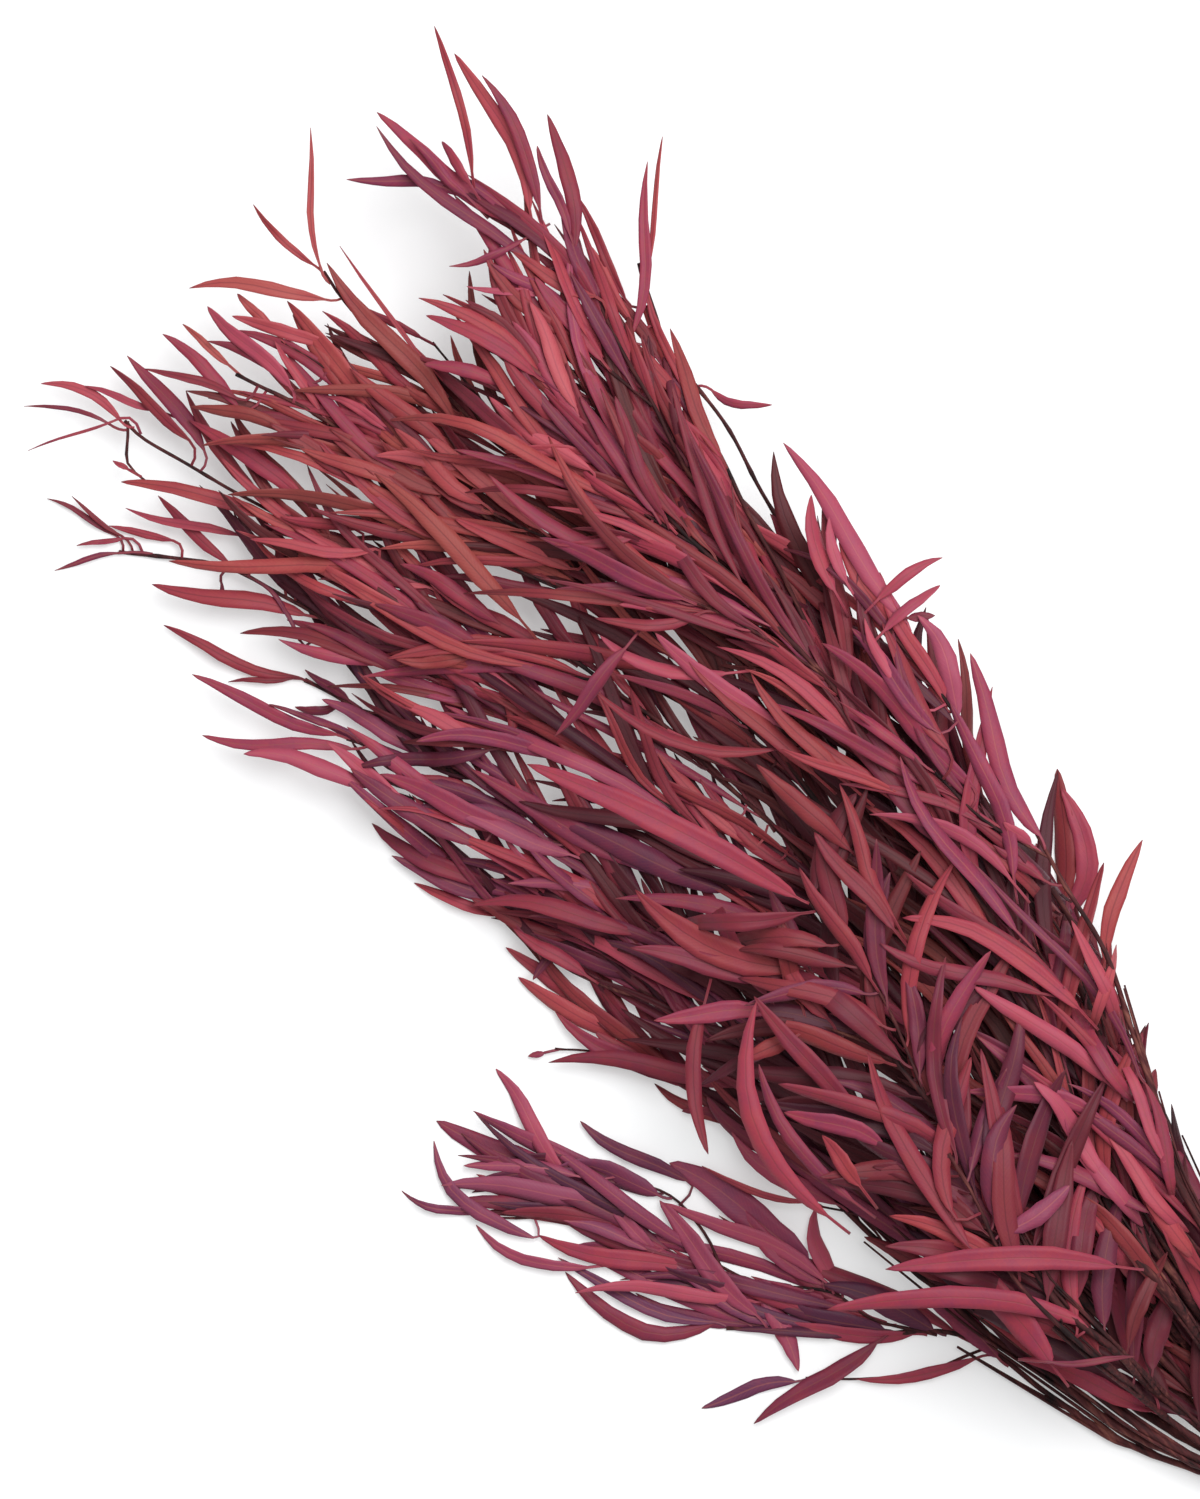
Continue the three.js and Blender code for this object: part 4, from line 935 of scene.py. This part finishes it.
# The stems whose leaves stand every way, and those whose leaves are broad
TOUSLED_STEMS = ("leafy_stem_foreground_middle", "leafy_stem_foreground_low")
BROAD_STEMS = (*TOUSLED_STEMS, "leafy_stem_low_spray", "leafy_stem_right_edge")
FOLD = 0.3
SWAY = 0.025
LONG_STALK = 14
CUT_STALK = 12
STALK_BEND = 0.6
STALK_DIVE = 9
STALK_RISEN = 0.9
NEAR_ROOT = 0.1
WAVE_HEIGHT = (0.3, 1.2)
WAVES = (1.2, 3)
WAVE_TURN, EDGE_TURN = 6.28, 12.5
ARCH = (-0.02, 0.05)
HEIGHT_SMOOTHING = 0.09
SMOOTHING_SHARES = ((-1, 0.25), (0, 0.5), (1, 0.25))
LOWEST_LEAF = 0.55
LEAF_SEED = 7

# How each leaf's colour and painted shade vary round its stem's, and how far down in the bunch it is in full
# painted shade
WARMTH_SPREAD = 0.32
SHADE_SPREAD = 0.36
SHADE_DEPTH = 19
SHADE_REACH = 2
FULL_SHADE = 0.7
MOST_PAINTED_SHADE, MOST_PAINTED_SHADE_SHOWN = 0.8, 0.4

ROWS = (*(0 for _ in STALK_ROWS), *BLADE_ROWS)


# The pattern of every leaf: a flat closed sheet, one unit long and wide, with rows for the stalk and
# then the blade
bm = bmesh.new()
bmesh.ops.create_grid(bm, x_segments=len(ROWS) - 1, y_segments=BLADE_COLUMNS, size=0.5)
bmesh.ops.solidify(bm, geom=bm.faces[:], thickness=0.25)
bmesh.ops.recalc_face_normals(bm, faces=bm.faces)
for face in bm.faces:
    face.smooth = True
pattern = bpy.data.meshes.new("leaf_pattern")
bm.to_mesh(pattern)
bm.free()
flat = np.array([v.co for v in pattern.vertices])
leaf_row = np.rint((flat[:, 0] + 0.5) * (len(ROWS) - 1)).astype(int)
leaf_column = flat[:, 1] * 2
leaf_face = np.where(flat[:, 2] > flat[:, 2].mean(), 0.5, -0.5)
leaf_at = np.array(ROWS)[leaf_row]


def blade_half_width(at, width, fullness, edge_waves):
    shape = np.maximum(np.sin(math.pi * at ** EARLY), 0) ** fullness
    shape *= 1 + EDGE_WAVE * np.sin(edge_waves)
    least = np.where(at < 0.5, STALK_HALF_WIDTH, TIP_HALF_WIDTH)
    return np.maximum(shape * width / 2, least)


# The outlines of the leafy part and of its lowest stem in plan
BUNCH_OUTLINE = [
    476+32j, 424+44j, 376+80j, 332+112j, 296+148j, 256+168j, 216+200j, 200+228j, 160+248j, 148+272j,
    120+292j, 116+320j, 132+344j, 116+364j, 80+392j, 60+424j, 48+440j, 80+452j, 92+476j, 132+480j, 172+460j,
    172+480j, 192+504j, 164+540j, 188+532j, 224+536j, 256+496j, 272+460j, 280+432j, 304+392j, 320+376j,
    324+412j, 352+376j, 372+360j, 380+312j, 400+268j, 416+260j, 436+244j, 448+210j, 467+170j, 479+130j,
    500+60j, 500+20j,
]
SPRAY_OUTLINE = [
    160+122j, 174+150j, 196+172j, 206+152j, 234+152j, 264+143j, 292+128j, 322+100j, 352+86j, 384+68j,
    400+56j, 370+58j, 330+62j, 290+62j, 262+64j, 232+82j, 200+102j,
]


def in_outline(at, outline=BUNCH_OUTLINE):
    inside = False
    for a, b in zip(outline, outline[1:] + outline[:1]):
        if (a.imag > at.imag) != (b.imag > at.imag):
            inside ^= at.real < (b - a).real * (at.imag - a.imag) / (b - a).imag + a.real
    return inside


def is_hidden(leaf):
    """Whether a stalk is longer than a real one and lies inside the bunch, where it can end unseen."""
    joint = leaf.stations[0].at
    return abs(leaf.root - joint) > LONG_STALK and in_outline(mix(joint, leaf.root, 0.5))


def stalk_of(leaf):
    return CUT_STALK if is_hidden(leaf) else abs(leaf.root - leaf.stations[0].at)


def bend_leaf(leaf, heights, width_share, draw):
    """The pattern's points on a leaf, in millimetres in plan and up, with their places along and
    across the blade."""
    joint, stalk, blade = leaf.stations[0].at, stalk_of(leaf), abs(leaf.tip - leaf.root)
    way = way_from(leaf.root, leaf.middle(NEAR_ROOT))
    if is_hidden(leaf):
        joint = leaf.root - way * stalk
    before = leaf.root - way * stalk * STALK_BEND
    stalk_line = [mix(mix(joint, before, t), mix(before, leaf.root, t), t) for t in STALK_ROWS]
    middles = np.array([*stalk_line, *(leaf.middle(t) for t in BLADE_ROWS)])
    run = np.array([*(stalk * t for t in STALK_ROWS), *(stalk + blade * t for t in BLADE_ROWS)])
    step = HEIGHT_SMOOTHING * run[-1]
    z = sum(
        share * np.interp(run + shift * step, *heights)
        for shift, share in SMOOTHING_SHARES
    )
    arch, fold, sway = draw(*ARCH) * blade, draw(-FOLD, FOLD), draw(-SWAY, SWAY) * blade
    wave, waves, phase = draw(*WAVE_HEIGHT), draw(*WAVES), draw(*PHASES)
    middles += 1j * way_from(leaf.root, leaf.tip) * sway * np.sin(2 * math.pi * np.array(ROWS))
    ways = np.gradient(middles)
    ways /= abs(ways)
    edge_waves = leaf_at * waves * EDGE_TURN + phase + leaf_column
    half = blade_half_width(leaf_at, leaf.width * width_share, draw(*FULLNESS), edge_waves)
    angle = leaf.roll + leaf.twist * leaf_at
    across = leaf_column * half
    rounded = np.sin(leaf_at * math.pi)
    ripple = wave * leaf_column * np.sin(leaf_at * waves * WAVE_TURN + phase) * rounded
    up = across * np.sin(angle) + fold * abs(across) + ripple
    thickness = np.where(
        leaf_row <= len(STALK_ROWS), STALK_THICKNESS,
        BLADE_THICKNESS + (EDGE_THICKNESS - BLADE_THICKNESS) * abs(leaf_column),
    )
    over = leaf_face * thickness
    at = middles[leaf_row] + 1j * ways[leaf_row] * (across * np.cos(angle) - over * np.sin(angle))
    lift = z[leaf_row] + arch * rounded + up + over * np.cos(angle)
    return at, np.maximum(lift, LOWEST_LEAF + over), run[leaf_row] - stalk, across


def heights_of(leaf):
    """A laid leaf's heights, as distances from its joint and heights there. A stalk that ends
    unseen dives under its neighbours."""
    stalk, blade = stalk_of(leaf), abs(leaf.tip - leaf.root)
    runs = [0, min(STALK_LENGTH, stalk * STALK_RISEN), stalk + blade * WIDEST_AT, stalk + blade]
    heights = [station.z for station in leaf.stations]
    if is_hidden(leaf):
        heights[0] = max(LOWEST_LEAF, heights[1] - STALK_DIVE)
    return runs, heights


# More leaves of the same kind close up the bunch: they grow on alternate sides of every stem and twig,
# lie beneath the leaves that show best, and keep to the bunch's outline and off its openings.
MORE_STEP = 4.4
MORE_OPEN = 0.15
MORE_TRIES = (1, 1, 0.8, 0.6, 0.4)
MORE_MARGIN = (0, 0.3)
# The lengths, widths and angles to the stem of the leaves of most stems, and of the tousled ones
SLEEK = ((46, 110), (4.4, 8), (0.05, 0.45))
TOUSLED = ((34, 78), (6.4, 10), (0.3, 1.35))
MORE_BOW = 0.1
MORE_RISE = (-0.12, 0.06)
NECK_RISE = 0.16
NECK_LEAVES = 210
MORE_FROM, EDGE_MORE_FROM = 36, 250
EDGE_STEMS = ("leafy_stem_right_edge", "leafy_stem_right_thin")
MORE_ENDS = (0, 0.25, 0.5, 0.75, 1)
UNDER = 1.6
LOWEST_MORE = LOWEST_LEAF + 0.5
# Painted shade added to the more leaves, which lie beneath, and to every leaf of the tousled stems
MORE_SHADE = 0.15
TOUSLED_SHADE = 0.2

# The heights of the leaves that show best, wherever one lies
shown = HeightField()
for stem in grown:
    for leaf in stem.leaves:
        if leaf.placed:
            cover_field(shown, leaf.stations)


def under_shown(at, z):
    """The height itself, or one that lies under the leaf that shows there."""
    row, column = shown.cell(at)
    near = shown.heights[row - 1:row + 2, column - 1:column + 2]
    near = near[near > 0]
    return max(LOWEST_MORE, min(z, near.min() - UNDER)) if near.size else z


def keeps_inside(middles):
    outlines = (BUNCH_OUTLINE, SPRAY_OUTLINE)
    return any(all(in_outline(at, outline) for at in middles) for outline in outlines)


def more_leaf(place, side, kind, ease, draw):
    """A leaf from a place on a stem or twig, or None where it would leave the bunch's outline."""
    lengths, widths, spreads = kind
    way = place.way * cmath.rect(1, side * draw(*spreads) * ease)
    length, width = draw(*lengths), draw(*widths)
    rise = (draw(*MORE_RISE) + max(0, NECK_RISE * (1 - place.along / NECK_LEAVES))) * length
    bow = -side * length * draw(0, MORE_BOW) * ease
    roll, twist = draw(-ROLL, ROLL), draw(-TWIST, TWIST)
    root = place.at + way * STALK_LENGTH
    tip = root + way * length
    middles = [on_middle(root, tip, bow, t) for t in MORE_ENDS]
    beyond = tip + way * length * draw(*MORE_MARGIN)
    if closes_opening(root, tip, width, bow, MORE_OPEN) or not keeps_inside([*middles, beyond]):
        return None
    heights = [max(LOWEST_MORE, place.z + rise * t) for t in MORE_ENDS]
    ends = [Station(place.at, place.z)]
    ends += [Station(at, under_shown(at, z)) for at, z in zip(middles, heights)]
    return Leaf(root, tip, width, bow, roll, twist, ends, False)


# Leaves that nearly close the middle of the bunch, each from the stem beside it: the root, the tip,
# the width, and the bow
CLOSING = [
    (336+256j, 302+296j, 8, 2), (272+274j, 250+324j, 8, -2), (258+282j, 246+320j, 7, -1),
    (306+292j, 272+302j, 5, 2), (318+278j, 272+318j, 6, -2), (310+256j, 280+288j, 6, 2),
    (300+262j, 262+300j, 7, 2), (322+262j, 286+300j, 6, -2), (292+272j, 254+296j, 6, 2),
    (330+300j, 290+340j, 6, 2), (282+262j, 236+300j, 7, -2),
]
# Leaves that lie over the bare stems at the right edge and the corner
COVERING = [
    (447+184j, 427+232j, 7, -2), (436+186j, 446+222j, 6, 1), (464+136j, 442+182j, 6, -2),
    (468+120j, 456+168j, 7, -2), (478+96j, 452+132j, 9, 1), (462+78j, 434+116j, 10, -1),
    (452+160j, 424+206j, 8, 2), (474+108j, 440+150j, 8, 2), (456+110j, 424+156j, 9, 2),
    (484+70j, 462+112j, 8, -2), (440+130j, 412+168j, 9, -2), (470+60j, 440+92j, 8, 2),
]
OVER = 1.8
OVER_REACH = 1


def beside(root):
    """The stem that a closing leaf grows from."""
    return min(grown, key=lambda stem: nearest_on(stem.stations, root)[0])


def closing_leaf(root, tip, width, bow, over):
    start = min(places_on(beside(root).stations, LEAFLESS), key=lambda place: abs(place.at - root))
    middles = [on_middle(root, tip, bow, t) for t in MORE_ENDS]
    heights = [all_laid.top(at, OVER_REACH) + OVER if over else under_shown(at, start.z) for at in middles]
    ends = [Station(start.at, start.z)] + [Station(at, z) for at, z in zip(middles, heights)]
    return Leaf(root, tip, width, bow, 0, ROLL, ends, over)


def more_leaves(stem, draw):
    added = [(*leaf, False) for leaf in CLOSING] + [(*leaf, True) for leaf in COVERING]
    leaves = [closing_leaf(*leaf) for leaf in added if beside(leaf[0]) is stem]
    kind = TOUSLED if stem.name in TOUSLED_STEMS else SLEEK
    axes = [places_on(stem.stations, EDGE_MORE_FROM if stem.name in EDGE_STEMS else MORE_FROM)]
    axes += [places_on(twig, TWIG_LEAFLESS) for twig in stem.twigs]
    side = 1
    for places in axes:
        along = 0
        for place in places:
            if place.along < along:
                continue
            along = place.along + MORE_STEP * draw(*LEAF_STEP_RANGE)
            side = -side
            tries = (more_leaf(place, side, kind, ease, draw) for ease in MORE_TRIES)
            leaves += [leaf for leaf in tries if leaf][:1]
    return leaves


def more_heights(leaf):
    blade = abs(leaf.tip - leaf.root)
    return [0, *(stalk_of(leaf) + blade * t for t in MORE_ENDS)], [end.z for end in leaf.stations]


# Dyed dried leaf: gives plum to coral leathery blades with a soft shine, mottled where the dye took unevenly,
# with a fine darker midrib and slanting side veins that also dent the surface, and painted shade and
# painted light from each leaf's shade value
leaf_skin, tree = new_material("dyed_dried_leaf", 0.52, 0.2)
place = add_node(tree, "TexCoord", "Object")
shader = tree.nodes["Principled BSDF"]
shader.inputs["Sheen Weight"].default_value = 0.05
shader.inputs["Sheen Roughness"].default_value = 0.5
warmth, shade, along, across = (
    add_node(tree, "Attribute", "Fac", attribute_name=name) for name in ("warmth", "shade", "along", "across")
)
mottle = add_node(
    tree, "TexNoise", "Fac", {"Vector": place, "Scale": 1 / (11 * MM), "Detail": 3, "Roughness": 0.55},
)
specks = add_node(tree, "TexNoise", "Fac", {"Vector": place, "Scale": 1 / (1.3 * MM), "Detail": 4})
mottled = add_node(tree, "Math", "Value", {0: mottle, 1: 0.55, 2: warmth}, operation="MULTIPLY_ADD")
specked = add_node(tree, "Math", "Value", {0: specks, 1: 0.3, 2: mottled}, operation="MULTIPLY_ADD")
dye = add_node(tree, "MapRange", "Result", {"Value": specked, "From Min": 0.35, "From Max": 1.5})
dyed = add_node(
    tree, "ValToRGB", "Color", {"Fac": dye},
    [(0, "#5C2A47"), (0.3, "#7A2B45"), (0.55, "#8D2F3F"), (0.8, "#94383B"), (1, "#984540")],
)
from_rib = add_node(tree, "Math", "Value", {0: across}, operation="ABSOLUTE")
rib = add_node(
    tree, "MapRange", "Result",
    {"Value": from_rib, "From Min": 0.1, "From Max": 0.42, "To Min": 1, "To Max": 0},
    interpolation_type="SMOOTHSTEP",
)
slanted = add_node(tree, "Math", "Value", {0: from_rib, 1: -1.6, 2: along}, operation="MULTIPLY_ADD")
turns = add_node(tree, "Math", "Value", {0: slanted, 1: 2 * math.pi / 2.3}, operation="MULTIPLY")
ripples = add_node(tree, "Math", "Value", {0: turns}, operation="SINE")
veins = add_node(
    tree, "MapRange", "Result", {"Value": ripples, "From Min": 0.55, "From Max": 1},
    interpolation_type="SMOOTHSTEP",
)
vein_share = add_node(tree, "Math", "Value", {0: veins, 1: 0.22}, operation="MULTIPLY")
lines = add_node(tree, "Math", "Value", {0: rib, 1: vein_share}, operation="MAXIMUM")
line_share = add_node(tree, "Math", "Value", {0: lines, 1: 0.4}, operation="MULTIPLY")
rib_color = add_node(tree, "ValToRGB", "Color", {"Fac": warmth}, [(0.28, "#9A5A4C"), (0.6, "#421620")])
veined = add_node(tree, "Mix", "Result", {"Factor": line_share, "A": dyed, "B": rib_color}, data_type="RGBA")
# Painted shade: the leaf darkens towards a near-black wine by its shade value
shaded = add_node(
    tree, "Mix", "Result", {"Factor": shade, "A": veined, "B": linear("#22050D")}, data_type="RGBA",
)
# Painted light: where the shade value is below zero, the leaf lightens towards a pale pink
lit = add_node(tree, "Math", "Value", {0: shade, 1: -1}, operation="MULTIPLY")
painted = add_node(
    tree, "Mix", "Result", {"Factor": lit, "A": shaded, "B": linear("#BE5A6E")}, data_type="RGBA",
)
relief = add_node(tree, "Math", "Value", {0: specks, 1: lines}, operation="SUBTRACT")
cover_with(tree, painted, relief, 0.45, 0.12)

# The longest leaves lie over the others: they are the pinkest, and the lightest, with almost no painted shade
# and some painted light
LONG_LEAF = 90
LONG_WARMTH = 0.46
LONG_LIGHT = 0.22
LONG_MOST_PAINTED_SHADE = 0.02

for index, stem in enumerate(grown):
    draw = draws_from(SEED + index * SEED_STEP + LEAF_SEED)
    laid = [(leaf, heights_of(leaf)) for leaf in stem.leaves]
    laid += [(leaf, more_heights(leaf)) for leaf in more_leaves(stem, draw)]
    width_share = BROAD_WIDTH_SHARE if stem.name in BROAD_STEMS else WIDTH_SHARE
    bm = bmesh.new()
    columns = []
    for leaf, heights in laid:
        bm.from_mesh(pattern)
        at, z, run, side = bend_leaf(leaf, heights, width_share, draw)
        middle = leaf.middle(0.5)
        # Painted shade: a leaf darkens the further it lies below the highest thing near its middle, more
        # beneath the leaves that show best and on the tousled stems, with a random spread; below zero the
        # value is painted light
        below = max(0, all_laid.top(middle, SHADE_REACH) - np.interp(0.5 * heights[0][-1], *heights))
        warm = stem.warmth + draw(-WARMTH_SPREAD, WARMTH_SPREAD)
        painted_shade_and_light = min(1, below / SHADE_DEPTH) * FULL_SHADE + (0 if leaf.placed else MORE_SHADE)
        painted_shade_and_light += TOUSLED_SHADE if stem.name in TOUSLED_STEMS else 0
        most = MOST_PAINTED_SHADE_SHOWN if leaf.placed else MOST_PAINTED_SHADE
        painted_shade_and_light = min(most, painted_shade_and_light + draw(-SHADE_SPREAD, SHADE_SPREAD))
        if leaf.placed and abs(leaf.tip - leaf.root) > LONG_LEAF:
            warm = max(warm, LONG_WARMTH)
            painted_shade_and_light = min(painted_shade_and_light - LONG_LIGHT, LONG_MOST_PAINTED_SHADE)
        at = (at - BUNCH_CENTRE) / heading(BUNCH_HEADING)
        same = np.ones(len(z))
        columns.append((np.stack([at.real, at.imag, z], axis=-1) * MM, run, side, warm * same, painted_shade_and_light * same))
    piece = add_piece(bm, f"{stem.name}_leaves", leaf_skin)
    places, *values = (np.concatenate(column) for column in zip(*columns))
    piece.data.vertices.foreach_set("co", places.ravel())
    for name, column in zip(("along", "across", "warmth", "shade"), values):
        layer = piece.data.attributes.new(name, "FLOAT", "POINT")
        layer.data.foreach_set("value", column.astype(np.float32))
    piece.data.update()
    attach(piece, "root")
    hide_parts(stem.name)
bpy.data.meshes.remove(pattern)


# The tie: seven turns of twine of two twisted strands round the neck of the bunch, drawn tight, with
# a knot on top and two short ends. The picture's edge cuts the bunch off before it.
TURNS = 7
TURN_PITCH = 1.95
TIE_CORNER = 2.4
STRANDS = 2
STRAND_RADIUS = 0.52
STRAND_OUT = 0.42
TWIST_LENGTH = 4.6
TWINE_STEP = 0.55 * MM
TWINE_LIFT = 0.02
TIE_LEVEL = 1
CORNER_STEPS = 6
STEEP = 0.8
FLAT_AXIS, STEEP_AXIS = Vector((0.31, 0.17, 0.94)), Vector((1, 0.2, 0))
KNOT_POINTS = 60
KNOT_SIZE = (1.15, 0.95, 0.75)
KNOT_HEIGHT = 1.6
END_PATHS = (
    [(0, 1.4, 1.5), (-5, 3, 1.9), (-11, 3.2, 1.4), (-17, 3.9, 2.1), (-20.5, 4.6, 2.6)],
    [(0, 1.4, -1.5), (5, 3, -1.8), (11, 2.9, -1.3), (16, 3.6, -1.9), (20, 4.4, -2.8)],
)

# Twine: gives dull tan plant fibre with darker grooves and a rough, unshiny surface
twine, tree = new_material("plant_fibre_twine", 0.9, 0.15)
place = add_node(tree, "TexCoord", "Object")
fibres = add_node(
    tree, "TexNoise", "Fac", {"Vector": place, "Scale": 1 / (0.7 * MM), "Detail": 4, "Roughness": 0.7},
)
tans = [(0.3, "#6E5336"), (0.55, "#9C8262"), (0.75, "#B89C78")]
cover_with(tree, add_node(tree, "ValToRGB", "Color", {"Fac": fibres}, tans), fibres, 0.6, 0.2)


def at_tie(across, up, along):
    """A point near the tie: across the neck to its left, up, and along the stems."""
    way = heading(NECK_HEADING)
    return in_row(TIE + way * 1j * across + way * along, up)


def add_twine(curve, line, closed):
    """Twists the strands round a line."""
    count = len(line)
    run = np.cumsum([0] + [(b - a).length for a, b in zip(line, line[1:])])
    length = run[-1] + (line[0] - line[-1]).length if closed else run[-1]
    twists = round(length / (TWIST_LENGTH * MM))
    for strand in range(STRANDS):
        points = []
        for k, point in enumerate(line):
            ahead = line[(k + 1) % count] if closed else line[min(k + 1, count - 1)]
            way = (ahead - line[k - 1] if closed or k else ahead - point).normalized()
            side = way.cross(FLAT_AXIS if abs(way.z) < STEEP else STEEP_AXIS).normalized()
            angle = 2 * math.pi * (twists * run[k] / length + strand / STRANDS)
            out = side * math.cos(angle) + way.cross(side) * math.sin(angle)
            points.append(point + out * (STRAND_OUT * MM))
        add_strand(curve, points, [STRAND_RADIUS] * count, closed)


# The turns' middle line round the neck: how far out at the sides, how low and how high it runs
TURN_GAP = BAND_GAP + BAND_THICKNESS / 2
NECK_HALF = (COLUMNS - 1) / 2 * COLUMN_PITCH + STEM_BASE_RADIUS + TURN_GAP
NECK_LOW = STRAND_OUT + STRAND_RADIUS + TWINE_LIFT
ROWS_ABOVE = len(STEMS) / COLUMNS - 1
NECK_HIGH = FIRST_ROW_HEIGHT + ROWS_ABOVE * ROW_PITCH + STEM_BASE_RADIUS * FLAT_HALF + TURN_GAP


def turn_line(along):
    """One turn round the neck: a rectangle with rounded corners, walked in small steps."""
    corners = [
        (NECK_HALF, NECK_LOW, -90), (NECK_HALF, NECK_HIGH, 0),
        (-NECK_HALF, NECK_HIGH, 90), (-NECK_HALF, NECK_LOW, 180),
    ]
    rough = []
    for x, up, start in corners:
        middle = complex(x - math.copysign(TIE_CORNER, x), up + TIE_CORNER * (1 if up == NECK_LOW else -1))
        for step in range(CORNER_STEPS + 1):
            point = middle + TIE_CORNER * heading(start + step * 90 / CORNER_STEPS)
            rough.append(at_tie(point.real, point.imag, along))
    line = []
    for a, b in zip(rough, rough[1:] + rough[:1]):
        count = max(1, round((b - a).length / TWINE_STEP))
        line += [a.lerp(b, k / count) for k in range(count)]
    return line


tie = new_strands("twine_turns", TIE_LEVEL)
for turn in range(TURNS):
    add_twine(tie, turn_line((turn - (TURNS - 1) / 2) * TURN_PITCH), True)
knot_line = []
for k in range(KNOT_POINTS):
    t = 2 * math.pi * k / KNOT_POINTS
    knot_line.append(at_tie(
        (math.sin(t) + 2 * math.sin(2 * t)) * KNOT_SIZE[0],
        NECK_HIGH + KNOT_HEIGHT - math.sin(3 * t) * KNOT_SIZE[2],
        (math.cos(t) - 2 * math.cos(2 * t)) * KNOT_SIZE[1],
    ))
add_twine(tie, knot_line, True)
for path in END_PATHS:
    points = [at_tie(across, NECK_HIGH + up, along) for across, up, along in path]
    add_twine(tie, smoothed(points, TWINE_STEP), False)
piece = meshed(tie, twine)
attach(piece, "root")
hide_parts("twine_tie")


# The table: a white, even surface that the bunch lies on, a little lit from below
FLOOR_HALF = 3

# Matt white board: gives a clean, almost white ground that takes soft shadows
board, tree = new_material("white_board", 0.9, 0.1)
shader = tree.nodes["Principled BSDF"]
shader.inputs["Base Color"].default_value = linear("#CCCDCE")
shader.inputs["Emission Color"].default_value = (1, 1, 1, 1)
shader.inputs["Emission Strength"].default_value = 0.34
bm = bmesh.new()
bmesh.ops.create_grid(bm, x_segments=1, y_segments=1, size=FLOOR_HALF)
floor = add_piece(bm, "floor", board)

# The camera looks straight down on the part of the bunch that the picture shows
PICTURE_MIDDLE = 240 + 299.8j
PICTURE_HEIGHT = 599.6
CAMERA_HEIGHT = 4000
FOCUS_HEIGHT = 35
SENSOR = 36
camera_data = bpy.data.cameras.new("camera")
camera_data.sensor_width = SENSOR
camera_data.lens = SENSOR * (CAMERA_HEIGHT - FOCUS_HEIGHT) / PICTURE_HEIGHT
camera_data.clip_end = 20
camera = bpy.data.objects.new("camera", camera_data)
camera.matrix_world = Matrix.Translation(in_row(PICTURE_MIDDLE, CAMERA_HEIGHT)) @ Matrix.Rotation(
    math.radians(-BUNCH_HEADING), 4, "Z"
)
bpy.context.scene.collection.objects.link(camera)
bpy.context.scene.camera = camera

# Soft daylight from all round, and a wide soft light from above and the picture's upper right
LAMP_AWAY = 620 + 620j
LAMP_HEIGHT = 1900
world = bpy.data.worlds.new("daylight")
bpy.context.scene.world = world
world.use_nodes = True
background = world.node_tree.nodes["Background"]
background.inputs["Color"].default_value = (1, 1, 1, 1)
background.inputs["Strength"].default_value = 0.52
lamp_data = bpy.data.lights.new("softbox", "AREA")
lamp_data.shape = "SQUARE"
lamp_data.size = 1.5
lamp_data.energy = 54
lamp = bpy.data.objects.new("softbox", lamp_data)
lamp.location = in_row(PICTURE_MIDDLE + LAMP_AWAY, LAMP_HEIGHT)
aim = in_row(PICTURE_MIDDLE, 0) - lamp.location
lamp.rotation_euler = aim.to_track_quat("-Z", "Y").to_euler()
bpy.context.scene.collection.objects.link(lamp)
bpy.context.scene.view_settings.view_transform = "Standard"
